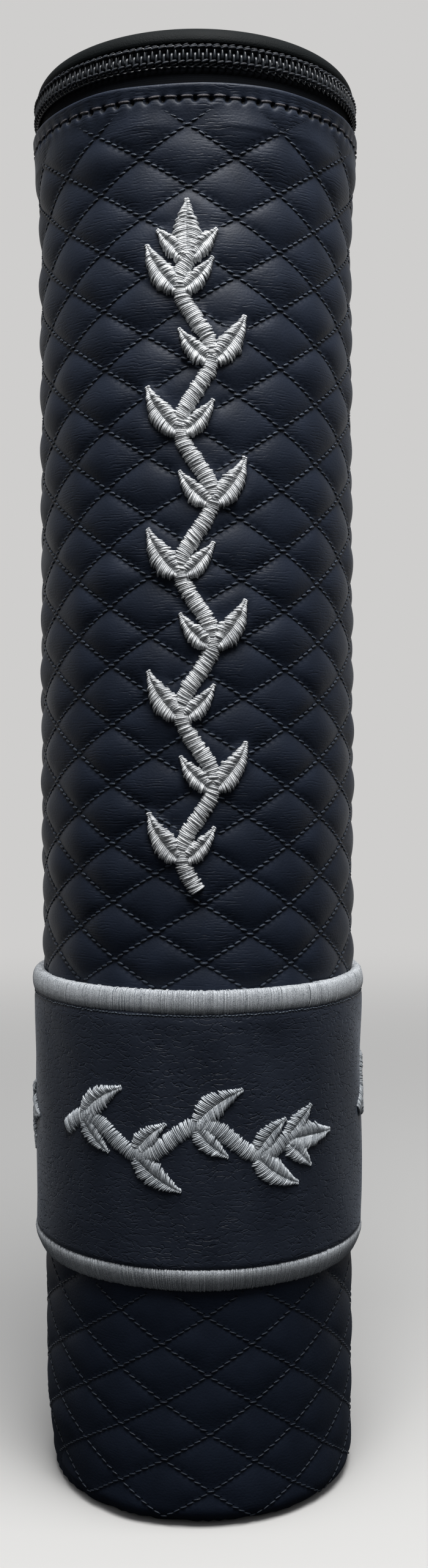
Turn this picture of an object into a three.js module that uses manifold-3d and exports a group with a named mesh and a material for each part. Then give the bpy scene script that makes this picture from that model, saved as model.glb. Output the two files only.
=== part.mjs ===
// Quilted cylindrical scroll case with a flip lid that zips round the rim.
// Lengths are in millimetres, +Z is up, and the front of the case faces -Y.
// Azimuths are angles round the case, from the front towards +X.
import Module from "manifold-3d";
import * as THREE from "three";
import { mergeVertices } from "three/addons/utils/BufferGeometryUtils.js";

const wasm = await Module();
wasm.setup();

// Clearances
const gap = 0.3;
const sliderPlay = 0.45;

// Roundness and pattern counts
const ringSides = 40;
const quiltColumns = 24;
const cornerSteps = 3;
const fullTurn = 2 * Math.PI;

// Scroll space and the tube round it
const boreRadius = 29.2;
const liningThick = 0.6;
const tubeWall = 1.9;
const foamThick = 0.8;

// Base
const baseCoverThick = 1.2;
const baseBoardThick = 2.0;
const cornerRadius = 4.5;
const turnUnder = 1.3;

// Quilted sleeve
const bodyHeight = 302.0;
const waddingThick = 1.5;
const quiltDepth = 1.0;
const quiltPitch = 12.39;
const firstRowHeight = 8.0;
const drawInDepth = 1.1;
const drawInHeight = 150.0;
const swellDepth = 0.9;
const swellHeight = 12.0;

// Hem and the rim under it
const hemHeight = 9.0;
const hemThick = 1.65;
const rimDrop = 1.5;

// Zip tapes, coils and stops
const seamRise = 1.31;
const tapeThick = 0.5;
const zipRise = 5.9;
const chainWidth = 5.0;
const meshWidth = 1.4;
const coilThick = 1.1;
const toothPitch = 1.62;
const toothWidth = 0.5;
const stopWidth = 1.2;
const bottomStopRise = 1.3;
const hingeHalfAngle = THREE.MathUtils.degToRad(49);

// Lid
const lidRise = 5.8;
const lidSheet = 0.6;
const lidBoardThick = 2.0;
const lidSeam = 0.9;

// Slider and pull
const sliderLength = 9.0;
const sliderHeight = 5.6;
const sliderWall = 1.0;
const innerWingHeight = 3.6;
const innerWingWall = 0.8;
const sliderAzimuth = THREE.MathUtils.degToRad(120);
const bridgeWidth = 1.5;
const bridgeBar = 1.0;
const bridgeHeight = 2.25;
const bridgeCrown = 0.8;
const pinHeight = 1.15;
const pullThick = 1.0;
const pullLength = 20.0;
const pullWidth = 4.8;
const pullBar = 1.1;
const pullArm = 1.2;
const eyeLength = 5.0;
const pullHoleRadius = 1.1;

// Smooth band and its stitched edgings
const bandTop = 113.3;
const bandBottom = 50.1;
const bandThick = 1.6;
const edgingHeight = 4.9;
const edgingThick = 0.7;
const edgingWrap = 0.35;

// Raised embroidery: wavy stems with leaves, whose headings are in radians from the stem's line
const threadHeight = 0.8;
const frontVineBottom = 134.0;
const frontVineLength = 134.0;
const frontBends = 9;
const bandVineHeight = 82.0;
const bandVineLength = 52.0;
const bandBends = 4;
const stemWidth = 3.6;
const vineSway = 3.4;
const leafWidth = 5.6;
const leafLength = 12.0;
const leafSteps = 3;
const leafTipShare = 1 / 6;
const leafBellyShare = 0.85;
const leafRootShare = 0.4;
const tipRootShare = 0.98;
const bendLeaves = [
  { heading: 0.95, curl: -0.35, sizeShare: 1 },
  { heading: -1.05, curl: 0.3, sizeShare: 0.8 },
];
const tipLeaves = [
  { heading: 0, curl: 0, sizeShare: 1.1 },
  { heading: 0.75, curl: 0, sizeShare: 0.8 },
  { heading: -0.75, curl: 0, sizeShare: 0.8 },
];

// Radii that follow from the sizes above, inside to outside
const liningOuter = boreRadius + liningThick;
const tubeInner = liningOuter + gap;
const tubeOuter = tubeInner + tubeWall;
const foamInner = tubeOuter + gap;
const foamOuter = foamInner + foamThick;
const skinInner = (foamOuter + gap) / Math.cos(Math.PI / quiltColumns);
const grooveRadius = skinInner + waddingThick;
const crestRadius = grooveRadius + quiltDepth;
const tapeInner = skinInner + seamRise;
const tapeOuter = tapeInner + tapeThick;
const coilInner = tapeOuter + gap;
const coilOuter = coilInner + coilThick;
const hemInner = tapeOuter + gap;
const skirtInner = tapeOuter + gap;
const skirtOuter = skirtInner + lidSheet;
const rimRadius = tapeInner - gap;
const sliderInner = coilOuter + sliderPlay;
const sliderOuter = sliderInner + sliderWall;

// Heights that follow from the sizes above, bottom to top
const baseBoardBottom = baseCoverThick + gap;
const tubeBottom = baseBoardBottom + baseBoardThick + gap;
const liningBottom = tubeBottom + liningThick + gap;
const hemSeam = bodyHeight - hemHeight;
const tubeTop = bodyHeight - rimDrop;
const lipBottom = tubeTop + gap;
const zipMiddle = bodyHeight + zipRise;
const rootWidth = (chainWidth - meshWidth) / 2;
const skirtBottom = zipMiddle + chainWidth / 2 + gap;
const lidLiningBottom = zipMiddle + innerWingHeight / 2 + gap;
const lidBoardBottom = lidLiningBottom + liningThick + gap;
const lidBoardTop = lidBoardBottom + lidBoardThick;
const edgingStep = edgingThick + gap;
const edgingLap = edgingWrap + gap;
const chainBottom = zipMiddle - chainWidth / 2;
const chainTop = zipMiddle + chainWidth / 2;
const tapeBottom = hemSeam + 3 * gap;
const tapeTop = skirtBottom + lidSeam;

// How far the sewn skin is drawn in towards the foot
function drawnIn(height) {
  return drawInDepth * Math.max(0, 1 - height / drawInHeight);
}

// How far the skin swells where it runs up over the folded hem
function swollen(height) {
  const share = THREE.MathUtils.smoothstep(height, hemSeam - swellHeight, hemSeam);
  return swellDepth * share;
}

function crestAt(height) {
  return crestRadius - drawnIn(height) + swollen(height);
}

// Where the rounded corner of the foot meets the flat underside
const footRadius = crestAt(cornerRadius) - cornerRadius;
const footEdge = footRadius - turnUnder;
const baseCoverRadius = footEdge * Math.cos(Math.PI / quiltColumns) - gap;

function bandInnerAt(height) {
  return crestAt(height) + gap;
}

function bandOuterAt(height) {
  return bandInnerAt(height) + bandThick;
}

// A point on the case from its radius, azimuth and height
function around(radius, azimuth, height) {
  return [radius * Math.sin(azimuth), -radius * Math.cos(azimuth), height];
}

function solidFrom(positions, index) {
  const geometry = new THREE.BufferGeometry();
  geometry.setAttribute("position", new THREE.Float32BufferAttribute(positions, 3));
  if (index) geometry.setIndex(index);
  geometry.computeVertexNormals();
  return geometry;
}

// Body of revolution: points of [radius, height], anticlockwise, from axis to axis or closed on itself
function turned(outline) {
  const points = outline.map(([radius, height]) => new THREE.Vector2(radius, height));
  const onAxis = outline[0][0] === 0 && outline.at(-1)[0] === 0;
  if (!onAxis) points.push(points[0].clone());
  return new THREE.LatheGeometry(points, ringSides).rotateX(Math.PI / 2);
}

function disc(radius, bottom, top) {
  return turned([[0, bottom], [radius, bottom], [radius, top], [0, top]]);
}

function tube(inner, outer, bottom, top) {
  return turned([[inner, bottom], [outer, bottom], [outer, top], [inner, top]]);
}

// Part of a tube between two azimuths
function tubeArc(inner, outer, bottom, top, from, to) {
  const start = from - Math.PI / 2;
  const end = to - Math.PI / 2;
  const shape = new THREE.Shape();
  shape.absarc(0, 0, outer, start, end, false);
  shape.absarc(0, 0, inner, end, start, true);
  const curveSegments = Math.max(2, Math.ceil(((to - from) / fullTurn) * ringSides));
  const settings = { depth: top - bottom, bevelEnabled: false, curveSegments };
  return new THREE.ExtrudeGeometry(shape, settings).translate(0, 0, bottom);
}

// Closed skin through a stack of rings, each cell folded along its lower diagonal
function ringStack(rings) {
  const sides = rings[0].radii.length;
  const radii = rings.flatMap((ring) => ring.radii);
  const positions = rings.flatMap(({ radii: row, height }) =>
    row.flatMap((radius, i) => around(radius, (i / sides) * fullTurn, height)));
  const index = [];
  rings.forEach((ring, k) => {
    const here = k * sides;
    const above = ((k + 1) % rings.length) * sides;
    for (let i = 0; i < sides; i += 1) {
      const j = (i + 1) % sides;
      const [a, b, c, d] = [here + i, here + j, above + j, above + i];
      const risingIsLower = radii[a] + radii[c] <= radii[b] + radii[d];
      index.push(...(risingIsLower ? [a, b, c, a, c, d] : [a, b, d, b, c, d]));
    }
  });
  return solidFrom(positions, index);
}

function plainRing(radius, height) {
  return { radii: new Array(quiltColumns).fill(radius), height };
}

// Quilted skin: turned under at the foot, diamonds up the wall, a rolled hem at the top
function quiltedSleeve() {
  const rings = [plainRing(footEdge, 0)];
  for (let k = 0; k <= cornerSteps; k += 1) {
    const angle = (k / cornerSteps) * (Math.PI / 2);
    const radius = footRadius + cornerRadius * Math.sin(angle);
    rings.push(plainRing(radius, cornerRadius * (1 - Math.cos(angle))));
  }
  const rowStep = quiltPitch / 2;
  const rows = Math.floor((hemSeam - firstRowHeight) / rowStep);
  for (let row = 0; row <= rows; row += 1) {
    const height = firstRowHeight + row * rowStep;
    const groove = crestAt(height) - quiltDepth;
    const radii = Array.from({ length: quiltColumns }, (_, i) => groove + quiltDepth * ((i + row) % 2));
    rings.push({ radii, height });
  }
  const hemShares = [[0.3, 0.8], [0.6, 1], [0.78, 0.98], [0.93, 0.75], [1, 0.5]];
  for (const [heightShare, thickShare] of hemShares) {
    rings.push(plainRing(hemInner + thickShare * hemThick, hemSeam + heightShare * hemHeight));
  }
  const hemCorner = hemInner / Math.cos(Math.PI / quiltColumns);
  const seat = tapeBottom - gap;
  rings.push(plainRing(hemCorner, bodyHeight), plainRing(hemCorner, seat));
  rings.push(plainRing(skinInner, seat), plainRing(skinInner, tubeBottom));
  rings.push(plainRing(skinInner - cornerRadius / 4, baseCoverThick));
  rings.push(plainRing(footEdge, baseCoverThick));
  return ringStack(rings);
}

// Lining sleeve with a lip that folds out over the rim of the tube
function liningSleeve() {
  const lipTop = lipBottom + liningThick;
  return turned([
    [boreRadius, liningBottom],
    [liningOuter, liningBottom],
    [liningOuter, lipBottom],
    [rimRadius, lipBottom],
    [rimRadius, lipTop],
    [boreRadius, lipTop],
  ]);
}

// Smooth band, thinner along both edges where the edgings lie
function smoothBand() {
  const edge = edgingHeight + gap;
  const low = bandBottom + edgingLap;
  const high = bandTop - edgingLap;
  const lowStep = bandBottom + edge;
  const highStep = bandTop - edge;
  return turned([
    [bandInnerAt(low), low],
    [bandOuterAt(low) - edgingStep, low],
    [bandOuterAt(lowStep) - edgingStep, lowStep],
    [bandOuterAt(lowStep), lowStep],
    [bandOuterAt(highStep), highStep],
    [bandOuterAt(highStep) - edgingStep, highStep],
    [bandOuterAt(high) - edgingStep, high],
    [bandInnerAt(high), high],
  ]);
}

// Raised stitched edging that wraps over one edge of the band: side is +1 at the top, -1 at the foot
function bandEdging(edge, side) {
  const seat = bandOuterAt(edge) - edgingThick;
  const profileShares = [[1, 0], [1, 0.5], [0.78, 1], [0.25, 1], [0.02, 0.5]];
  const outline = profileShares.map(([drop, rise]) =>
    [seat + rise * edgingStep, edge - side * drop * edgingHeight]);
  const wrapUnder = edge - side * edgingWrap;
  outline.push([bandInnerAt(edge), edge], [bandInnerAt(edge), wrapUnder], [seat, wrapUnder]);
  return turned(side > 0 ? outline : outline.reverse());
}

// One half of the zip chain: a root round the case with teeth that reach past the middle
function zipCoil() {
  const pitchAngle = toothPitch / ((coilInner + coilOuter) / 2);
  const halfTooth = (toothWidth / toothPitch) * (pitchAngle / 2);
  const halfArc = Math.PI - hingeHalfAngle - (stopWidth + 4 * gap) / tapeOuter;
  const phaseShare = 1 / 4;
  const pairs = Math.floor(halfArc / pitchAngle);
  const stations = [-pairs * pitchAngle];
  for (let k = -pairs; k < pairs; k += 1) {
    const centre = (k + phaseShare) * pitchAngle;
    stations.push(centre - halfTooth, centre + halfTooth);
  }
  stations.push(pairs * pitchAngle);
  const edge = -chainWidth / 2;
  const root = edge + rootWidth;
  const tip = root + meshWidth - gap;
  const positions = [];
  const face = (a, b, c, d) => positions.push(...a, ...b, ...c, ...a, ...c, ...d);
  const outer = (azimuth, height) => around(coilOuter, azimuth, height);
  const inner = (azimuth, height) => around(coilInner, azimuth, height);
  const walls = (from, to, low, high) => {
    face(outer(from, low), outer(to, low), outer(to, high), outer(from, high));
    face(inner(to, low), inner(from, low), inner(from, high), inner(to, high));
  };
  const startFace = (azimuth, low, high) =>
    face(outer(azimuth, low), outer(azimuth, high), inner(azimuth, high), inner(azimuth, low));
  const endFace = (azimuth, low, high) =>
    face(inner(azimuth, low), inner(azimuth, high), outer(azimuth, high), outer(azimuth, low));
  stations.slice(1).forEach((to, i) => {
    const from = stations[i];
    const isTooth = i % 2 === 1;
    const top = isTooth ? tip : root;
    walls(from, to, edge, root);
    face(inner(to, edge), outer(to, edge), outer(from, edge), inner(from, edge));
    face(outer(from, top), outer(to, top), inner(to, top), inner(from, top));
    if (isTooth) {
      walls(from, to, root, tip);
      startFace(from, root, tip);
      endFace(to, root, tip);
    }
  });
  startFace(stations[0], edge, root);
  endFace(stations.at(-1), edge, root);
  return mergeVertices(solidFrom(positions));
}

// Lid outline from skirt to crown, as shares of the lid's radius and rise, set in by a thickness
function lidOutline(thick) {
  const shares = [
    [1, 0], [1.003, 0.155], [0.992, 0.362], [0.962, 0.586],
    [0.907, 0.76], [0.797, 0.88], [0.55, 0.966], [0, 1],
  ];
  const points = shares.map(([out, up]) =>
    new THREE.Vector2(out * skirtOuter, skirtBottom + up * lidRise));
  return points.map((point, i) => {
    if (i === 0) return [point.x - thick, point.y];
    if (i === points.length - 1) return [0, point.y - thick];
    const run = points[i + 1].clone().sub(points[i - 1]).normalize();
    return [point.x - run.y * thick, point.y + run.x * thick];
  });
}

function lidCover() {
  return turned([...lidOutline(0), ...lidOutline(lidSheet).reverse()]);
}

// Wadding between the lid board and the crown
function lidPadding() {
  const bottom = lidBoardTop + gap;
  const crown = lidOutline(lidSheet + gap).filter(([, height]) => height > bottom);
  return turned([[0, bottom], [crown[0][0], bottom], ...crown]);
}

// A mesh as a manifold solid, and back
function toSolid(geometry) {
  const bare = geometry.clone();
  bare.deleteAttribute("normal");
  bare.deleteAttribute("uv");
  const merged = mergeVertices(bare);
  const vertProperties = merged.getAttribute("position").array;
  return new wasm.Manifold(new wasm.Mesh({
    numProp: 3,
    vertProperties: new Float32Array(vertProperties),
    triVerts: new Uint32Array(merged.index.array),
  }));
}

function joined(geometries) {
  const whole = geometries.map(toSolid).reduce((sum, next) => sum.add(next));
  const mesh = whole.getMesh();
  return solidFrom([...mesh.vertProperties], [...mesh.triVerts]);
}

// Outer wing of the slider with the bridge that holds the pull
function sliderBody() {
  const half = sliderLength / (2 * sliderOuter);
  const wing = tubeArc(sliderInner, sliderOuter, -sliderHeight / 2, sliderHeight / 2, -half, half);
  const reach = sliderLength / 2 - gap;
  const root = sliderOuter - sliderWall / 2;
  const under = sliderOuter + bridgeHeight;
  const top = under + bridgeCrown;
  const arch = new THREE.Shape([
    new THREE.Vector2(-reach, -root),
    new THREE.Vector2(-reach, -under),
    new THREE.Vector2(bridgeCrown - reach, -top),
    new THREE.Vector2(reach - bridgeCrown, -top),
    new THREE.Vector2(reach, -under),
    new THREE.Vector2(reach, -root),
    new THREE.Vector2(reach - bridgeBar, -root),
    new THREE.Vector2(reach - bridgeBar, -under),
    new THREE.Vector2(bridgeBar - reach, -under),
    new THREE.Vector2(bridgeBar - reach, -root),
  ]);
  const settings = { depth: bridgeWidth, bevelEnabled: false };
  const bridge = new THREE.ExtrudeGeometry(arch, settings).translate(0, 0, -bridgeWidth / 2);
  return joined([wing, bridge]);
}

// Inner wing of the slider, which runs behind the tapes
function sliderInnerWing() {
  const half = sliderLength / (2 * sliderOuter);
  const height = innerWingHeight / 2;
  return tubeArc(rimRadius - innerWingWall, rimRadius, -height, height, -half, half);
}

// Pull tab: an eye round the bridge, a waist and a rounded end with a hole
function pullTab() {
  const half = pullWidth / 2;
  const waistShares = [[0.3, 1], [0.42, 0.78], [0.62, 0.84]];
  const bar = pullBar / 2;
  const outline = new THREE.Shape();
  outline.moveTo(-bar, -half);
  for (const [along, wide] of waistShares) outline.lineTo(along * pullLength, -wide * half);
  outline.lineTo(pullLength - half, -half);
  outline.absarc(pullLength - half, 0, half, -Math.PI / 2, Math.PI / 2, false);
  for (const [along, wide] of waistShares.toReversed()) outline.lineTo(along * pullLength, wide * half);
  outline.lineTo(-bar, half);
  const eye = new THREE.Path([
    new THREE.Vector2(bar, pullArm - half),
    new THREE.Vector2(bar, half - pullArm),
    new THREE.Vector2(bar + eyeLength, half - pullArm),
    new THREE.Vector2(bar + eyeLength, pullArm - half),
  ]);
  const hole = new THREE.Path();
  hole.absarc(pullLength - half, 0, pullHoleRadius, 0, fullTurn, true);
  outline.holes.push(eye, hole);
  const settings = { depth: pullThick, bevelEnabled: false, curveSegments: cornerSteps * 4 };
  return new THREE.ExtrudeGeometry(outline, settings)
    .translate(0, 0, -pullThick / 2)
    .rotateX(Math.PI / 2);
}

// One raised satin stroke along a centre line, laid on the case by place(along, across, rise)
function satinStroke(centreAt, halfWidthAt, steps, place) {
  const positions = [];
  const aheadShare = 0.01;
  for (let k = 0; k <= steps; k += 1) {
    const centre = centreAt(k / steps);
    const ahead = centreAt(k / steps + aheadShare);
    const left = new THREE.Vector2(centre.y - ahead.y, ahead.x - centre.x).normalize();
    const half = halfWidthAt(k / steps);
    for (const [side, up] of [[-1, 0], [1, 0], [0, 1]]) {
      const point = left.clone().multiplyScalar(side * half).add(centre);
      positions.push(...place(point.x, point.y, up * threadHeight));
    }
  }
  const index = [0, 2, 1];
  for (let k = 0; k < steps; k += 1) {
    for (let c = 0; c < 3; c += 1) {
      const [a, b] = [k * 3 + c, k * 3 + ((c + 1) % 3)];
      index.push(a, b, b + 3, a, b + 3, a + 3);
    }
  }
  const last = steps * 3;
  index.push(last, last + 1, last + 2);
  return solidFrom(positions, index);
}

// A leaf that springs from a point of the stem and curls to one side
function leafStroke(root, leaf, side, place) {
  const length = leafLength * leaf.sizeShare;
  const halfWidth = (leafWidth / 2) * leaf.sizeShare;
  const centreAt = (t) => new THREE.Vector2(length * t, side * leaf.curl * length * t * t)
    .rotateAround(new THREE.Vector2(), side * leaf.heading)
    .add(root);
  const halfWidthAt = (t) => halfWidth * Math.max(leafTipShare, Math.sin(Math.PI * t ** leafBellyShare));
  return satinStroke(centreAt, halfWidthAt, leafSteps, place);
}

// A wavy stem with an outer and an inner leaf at each bend and three leaves at its tip
function vine(length, bends, place) {
  const stemAt = (t) => new THREE.Vector2(length * t, vineSway * Math.sin(Math.PI * bends * t));
  const strokes = [satinStroke(stemAt, () => stemWidth / 2, bends * leafSteps, place)];
  for (let k = 0; k < bends; k += 1) {
    const root = stemAt((k + leafRootShare) / bends);
    const side = k % 2 ? -1 : 1;
    for (const leaf of bendLeaves) strokes.push(leafStroke(root, leaf, side, place));
  }
  for (const leaf of tipLeaves) strokes.push(leafStroke(stemAt(tipRootShare), leaf, 1, place));
  return joined(strokes);
}

// Embroidery up the front, which lies on the crests of the quilting
function frontEmbroidery() {
  return vine(frontVineLength, frontBends, (along, across, rise) => {
    const height = frontVineBottom + along;
    return around(crestAt(height) + gap + rise, -across / crestRadius, height);
  });
}

// Embroidery round the band, centred on the front
function bandEmbroidery() {
  const reach = bandOuterAt(bandVineHeight);
  const start = -(bandVineLength + leafLength) / 2;
  return vine(bandVineLength, bandBends, (along, across, rise) => {
    const height = bandVineHeight + across;
    return around(bandOuterAt(height) + gap + rise, (start + along) / reach, height);
  });
}

// Materials
const finishes = {
  leatherette: { color: 0x1a2029, roughness: 0.55, metalness: 0 },
  bandLeatherette: { color: 0x262b33, roughness: 0.6, metalness: 0 },
  paleThread: { color: 0xb9b8b3, roughness: 0.5, metalness: 0 },
  blueThread: { color: 0x8b96a5, roughness: 0.5, metalness: 0 },
  zipTape: { color: 0x10141b, roughness: 0.9, metalness: 0 },
  zipCoil: { color: 0x20252d, roughness: 0.4, metalness: 0 },
  metal: { color: 0x8b8d90, roughness: 0.3, metalness: 1 },
  lining: { color: 0x23283a, roughness: 0.95, metalness: 0 },
  board: { color: 0x9c8363, roughness: 0.9, metalness: 0 },
  foam: { color: 0xd9d4c3, roughness: 1, metalness: 0 },
};

function part(name, geometry, finish) {
  const mesh = new THREE.Mesh(geometry, new THREE.MeshStandardMaterial(finishes[finish]));
  mesh.name = name;
  return mesh;
}

// The case below the zip
const caseGroup = new THREE.Group();
caseGroup.add(
  part("base_cover", disc(baseCoverRadius, 0, baseCoverThick), "leatherette"),
  part("base_board", disc(tubeOuter, baseBoardBottom, baseBoardBottom + baseBoardThick), "board"),
  part("tube_core", tube(tubeInner, tubeOuter, tubeBottom, tubeTop), "board"),
  part("lining_floor", disc(tubeInner - gap, tubeBottom, tubeBottom + liningThick), "lining"),
  part("lining_sleeve", liningSleeve(), "lining"),
  part("quilt_foam", tube(foamInner, foamOuter, tubeBottom, tubeTop), "foam"),
  part("quilted_sleeve", quiltedSleeve(), "leatherette"),
  part("smooth_band", smoothBand(), "bandLeatherette"),
  part("band_top_edging", bandEdging(bandTop, 1), "blueThread"),
  part("band_bottom_edging", bandEdging(bandBottom, -1), "blueThread"),
  part("front_embroidery", frontEmbroidery(), "paleThread"),
);
for (let k = 0; k < 3; k += 1) {
  const sprig = part(`band_embroidery_${k + 1}`, bandEmbroidery(), "paleThread");
  sprig.rotation.z = (k * fullTurn) / 3;
  caseGroup.add(sprig);
}

// The zip round the mouth, and the strip that hinges the lid at the back
const tapeEnd = Math.PI - hingeHalfAngle - gap / tapeInner;
const stopStart = tapeEnd - gap / tapeOuter - stopWidth / tapeOuter;
const stopEnd = tapeEnd - gap / tapeOuter;
caseGroup.add(
  part("zip_lower_tape",
    tubeArc(tapeInner, tapeOuter, tapeBottom, zipMiddle - gap, -tapeEnd, tapeEnd), "zipTape"),
  part("zip_top_stop_case",
    tubeArc(coilInner, coilOuter, chainBottom, chainBottom + rootWidth, stopStart, stopEnd), "metal"),
  part("zip_bottom_stop",
    tubeArc(coilInner, coilOuter, chainBottom, zipMiddle + bottomStopRise, -stopEnd, -stopStart), "metal"),
  part("hinge_strip",
    tubeArc(tapeInner, tapeOuter, tapeBottom, tapeTop, Math.PI - hingeHalfAngle, Math.PI + hingeHalfAngle),
    "leatherette"),
);
const lowerCoil = part("zip_lower_coil", zipCoil(), "zipCoil");
lowerCoil.position.z = zipMiddle;
caseGroup.add(lowerCoil);

// The lid above the zip
const lidGroup = new THREE.Group();
lidGroup.add(
  part("lid_cover", lidCover(), "leatherette"),
  part("lid_padding", lidPadding(), "foam"),
  part("lid_board", disc(rimRadius, lidBoardBottom, lidBoardTop), "board"),
  part("lid_lining", disc(rimRadius, lidLiningBottom, lidLiningBottom + liningThick), "lining"),
  part("zip_upper_tape",
    tubeArc(tapeInner, tapeOuter, zipMiddle + gap, tapeTop, -tapeEnd, tapeEnd), "zipTape"),
  part("zip_top_stop_lid",
    tubeArc(coilInner, coilOuter, chainTop - rootWidth, chainTop, stopStart, stopEnd), "metal"),
);
const upperCoil = part("zip_upper_coil", zipCoil(), "zipCoil");
upperCoil.position.z = zipMiddle;
upperCoil.rotation.y = Math.PI;
lidGroup.add(upperCoil);

// The slider, parked near the hinge, and its pull lying back along the zip
const sliderGroup = new THREE.Group();
sliderGroup.position.z = zipMiddle;
sliderGroup.rotation.z = sliderAzimuth;
const pull = part("zip_pull", pullTab(), "metal");
pull.position.y = -(sliderOuter + pinHeight);
sliderGroup.add(
  part("slider_outer_wing", sliderBody(), "metal"),
  part("slider_inner_wing", sliderInnerWing(), "metal"),
  pull,
);

const megillahCase = new THREE.Group();
megillahCase.add(caseGroup, lidGroup, sliderGroup);

export default megillahCase;
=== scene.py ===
# Quilted round case for a rolled scroll, with a flip lid that zips round the rim.
# Lengths are in metres, +Z is up and the front of the case faces -Y.
# Azimuths are angles round the case, from the front towards +X.
import math

import bmesh
import bpy
import numpy as np
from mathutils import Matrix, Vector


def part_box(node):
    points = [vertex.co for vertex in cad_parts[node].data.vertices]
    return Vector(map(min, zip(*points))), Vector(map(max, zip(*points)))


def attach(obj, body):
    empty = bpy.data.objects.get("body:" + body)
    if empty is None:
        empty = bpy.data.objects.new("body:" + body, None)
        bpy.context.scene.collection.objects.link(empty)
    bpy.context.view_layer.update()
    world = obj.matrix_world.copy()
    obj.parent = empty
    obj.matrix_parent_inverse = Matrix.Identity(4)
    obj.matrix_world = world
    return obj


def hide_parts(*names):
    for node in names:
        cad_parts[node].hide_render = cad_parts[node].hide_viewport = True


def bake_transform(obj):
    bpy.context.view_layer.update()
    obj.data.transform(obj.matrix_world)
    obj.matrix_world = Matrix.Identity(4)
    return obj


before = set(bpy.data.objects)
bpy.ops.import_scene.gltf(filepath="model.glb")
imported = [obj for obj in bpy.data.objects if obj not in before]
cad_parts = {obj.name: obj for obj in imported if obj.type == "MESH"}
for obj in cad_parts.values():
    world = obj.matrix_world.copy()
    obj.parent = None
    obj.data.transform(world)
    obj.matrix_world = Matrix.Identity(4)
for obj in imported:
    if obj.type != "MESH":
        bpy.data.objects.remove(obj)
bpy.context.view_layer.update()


# Camera
# It stands where the photograph was taken: level, 35 cm in front of the case's axis.
# Its shifts set the horizon and the axis where the photograph has them.
mm = 0.001
photo_width, photo_height = 700, 2563
focal_pixels = 2497
horizon_row = 1193.6
axis_column = 322.6
camera_distance = 354.8 * mm
camera_height = 167.4 * mm
camera_roll = math.radians(0.19)
sensor_side = 36

camera = bpy.data.objects.new("camera", bpy.data.cameras.new("camera"))
bpy.context.scene.collection.objects.link(camera)
camera.location = (0, -camera_distance, camera_height)
camera.rotation_euler = (math.pi / 2, camera_roll, 0)
camera.data.sensor_width = sensor_side
camera.data.lens = sensor_side * focal_pixels / photo_height
camera.data.shift_x = (photo_width / 2 - axis_column) / photo_height
camera.data.shift_y = (horizon_row - photo_height / 2) / photo_height
camera.data.clip_start = 10 * mm
bpy.context.scene.camera = camera
bpy.context.scene.view_settings.view_transform = "Standard"


# Light
# A soft box hangs high over the front of the case, and a dim room gives the rest from above.
# The pale backdrop stands behind the case: the camera sees it, and so do level glancing reflections.
def linear(code):
    """An sRGB hex colour as linear red, green, blue and alpha."""
    parts = [int(code[i:i + 2], 16) / 255 for i in (1, 3, 5)]
    return (*[p / 12.92 if p <= 0.04045 else ((p + 0.055) / 1.055) ** 2.4 for p in parts], 1)


def feed(node, inputs):
    """Gives each input, by its name or in order, a value or the output that feeds it."""
    for name, value in inputs.items() if isinstance(inputs, dict) else enumerate(inputs):
        if isinstance(value, bpy.types.NodeSocket):
            node.id_data.links.new(value, node.inputs[name])
        else:
            node.inputs[name].default_value = value


def add(tree, kind, inputs=(), out=0, **settings):
    """Adds a node with its inputs and settings, and returns one of its outputs."""
    node = tree.nodes.new(kind)
    for name, value in settings.items():
        setattr(node, name, value)
    feed(node, inputs)
    return node.outputs[out] if node.outputs else None


def ray_kinds(tree):
    """Whether the camera sees a place, also through something clear, and whether a reflection does."""
    rays = add(tree, "ShaderNodeLightPath").node.outputs
    seen = [rays["Is Camera Ray"], rays["Is Transmission Ray"]]
    seen = add(tree, "ShaderNodeMath", seen, operation="MAXIMUM")
    return seen, rays["Is Glossy Ray"]


smooth = {"interpolation_type": "SMOOTHSTEP"}
backdrop_grey = linear("#cfcecd")
room_grey = linear("#e6e8ec")
ceiling_strength, floor_strength = 0.5, 0.03
soft_box_place = (0.04, -0.18, 0.63)
soft_box_aim_height = 0.2
soft_box_size = 0.3
soft_box_power = 4.9

world = bpy.data.worlds.new("pale_room")
bpy.context.scene.world = world
world.use_nodes = True
tree = world.node_tree
tree.nodes.clear()
look = add(tree, "ShaderNodeSeparateXYZ", [add(tree, "ShaderNodeTexCoord", out="Generated")]).node.outputs
behind = add(tree, "ShaderNodeMapRange", {
    "Value": look["Y"], "From Min": -0.2, "From Max": 0.7}, **smooth)
level = add(tree, "ShaderNodeMapRange", {
    "Value": look["Z"], "From Min": 0.3, "From Max": 0.6, "To Min": 1, "To Max": 0})
seen, mirrored = ray_kinds(tree)
level = add(tree, "ShaderNodeMath", [level, behind], operation="MULTIPLY")
mirrored = add(tree, "ShaderNodeMath", [mirrored, level], operation="MULTIPLY")
seen = add(tree, "ShaderNodeMath", [seen, mirrored], operation="MAXIMUM")
room_strength = add(tree, "ShaderNodeMapRange", {
    "Value": look["Z"], "From Min": -0.3, "From Max": 1, "To Min": floor_strength,
    "To Max": ceiling_strength}, **smooth)
room_light = add(tree, "ShaderNodeBackground", [room_grey, room_strength])
backdrop_light = add(tree, "ShaderNodeBackground", [backdrop_grey, 1])
add(tree, "ShaderNodeOutputWorld", [add(tree, "ShaderNodeMixShader", [seen, room_light, backdrop_light])])

soft_box = bpy.data.objects.new("soft_box", bpy.data.lights.new("soft_box", "AREA"))
bpy.context.scene.collection.objects.link(soft_box)
soft_box.location = soft_box_place
soft_box.rotation_euler = (math.atan2(-soft_box_place[1], soft_box_place[2] - soft_box_aim_height), 0, 0)
soft_box.data.size = soft_box_size
soft_box.data.energy = soft_box_power


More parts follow.
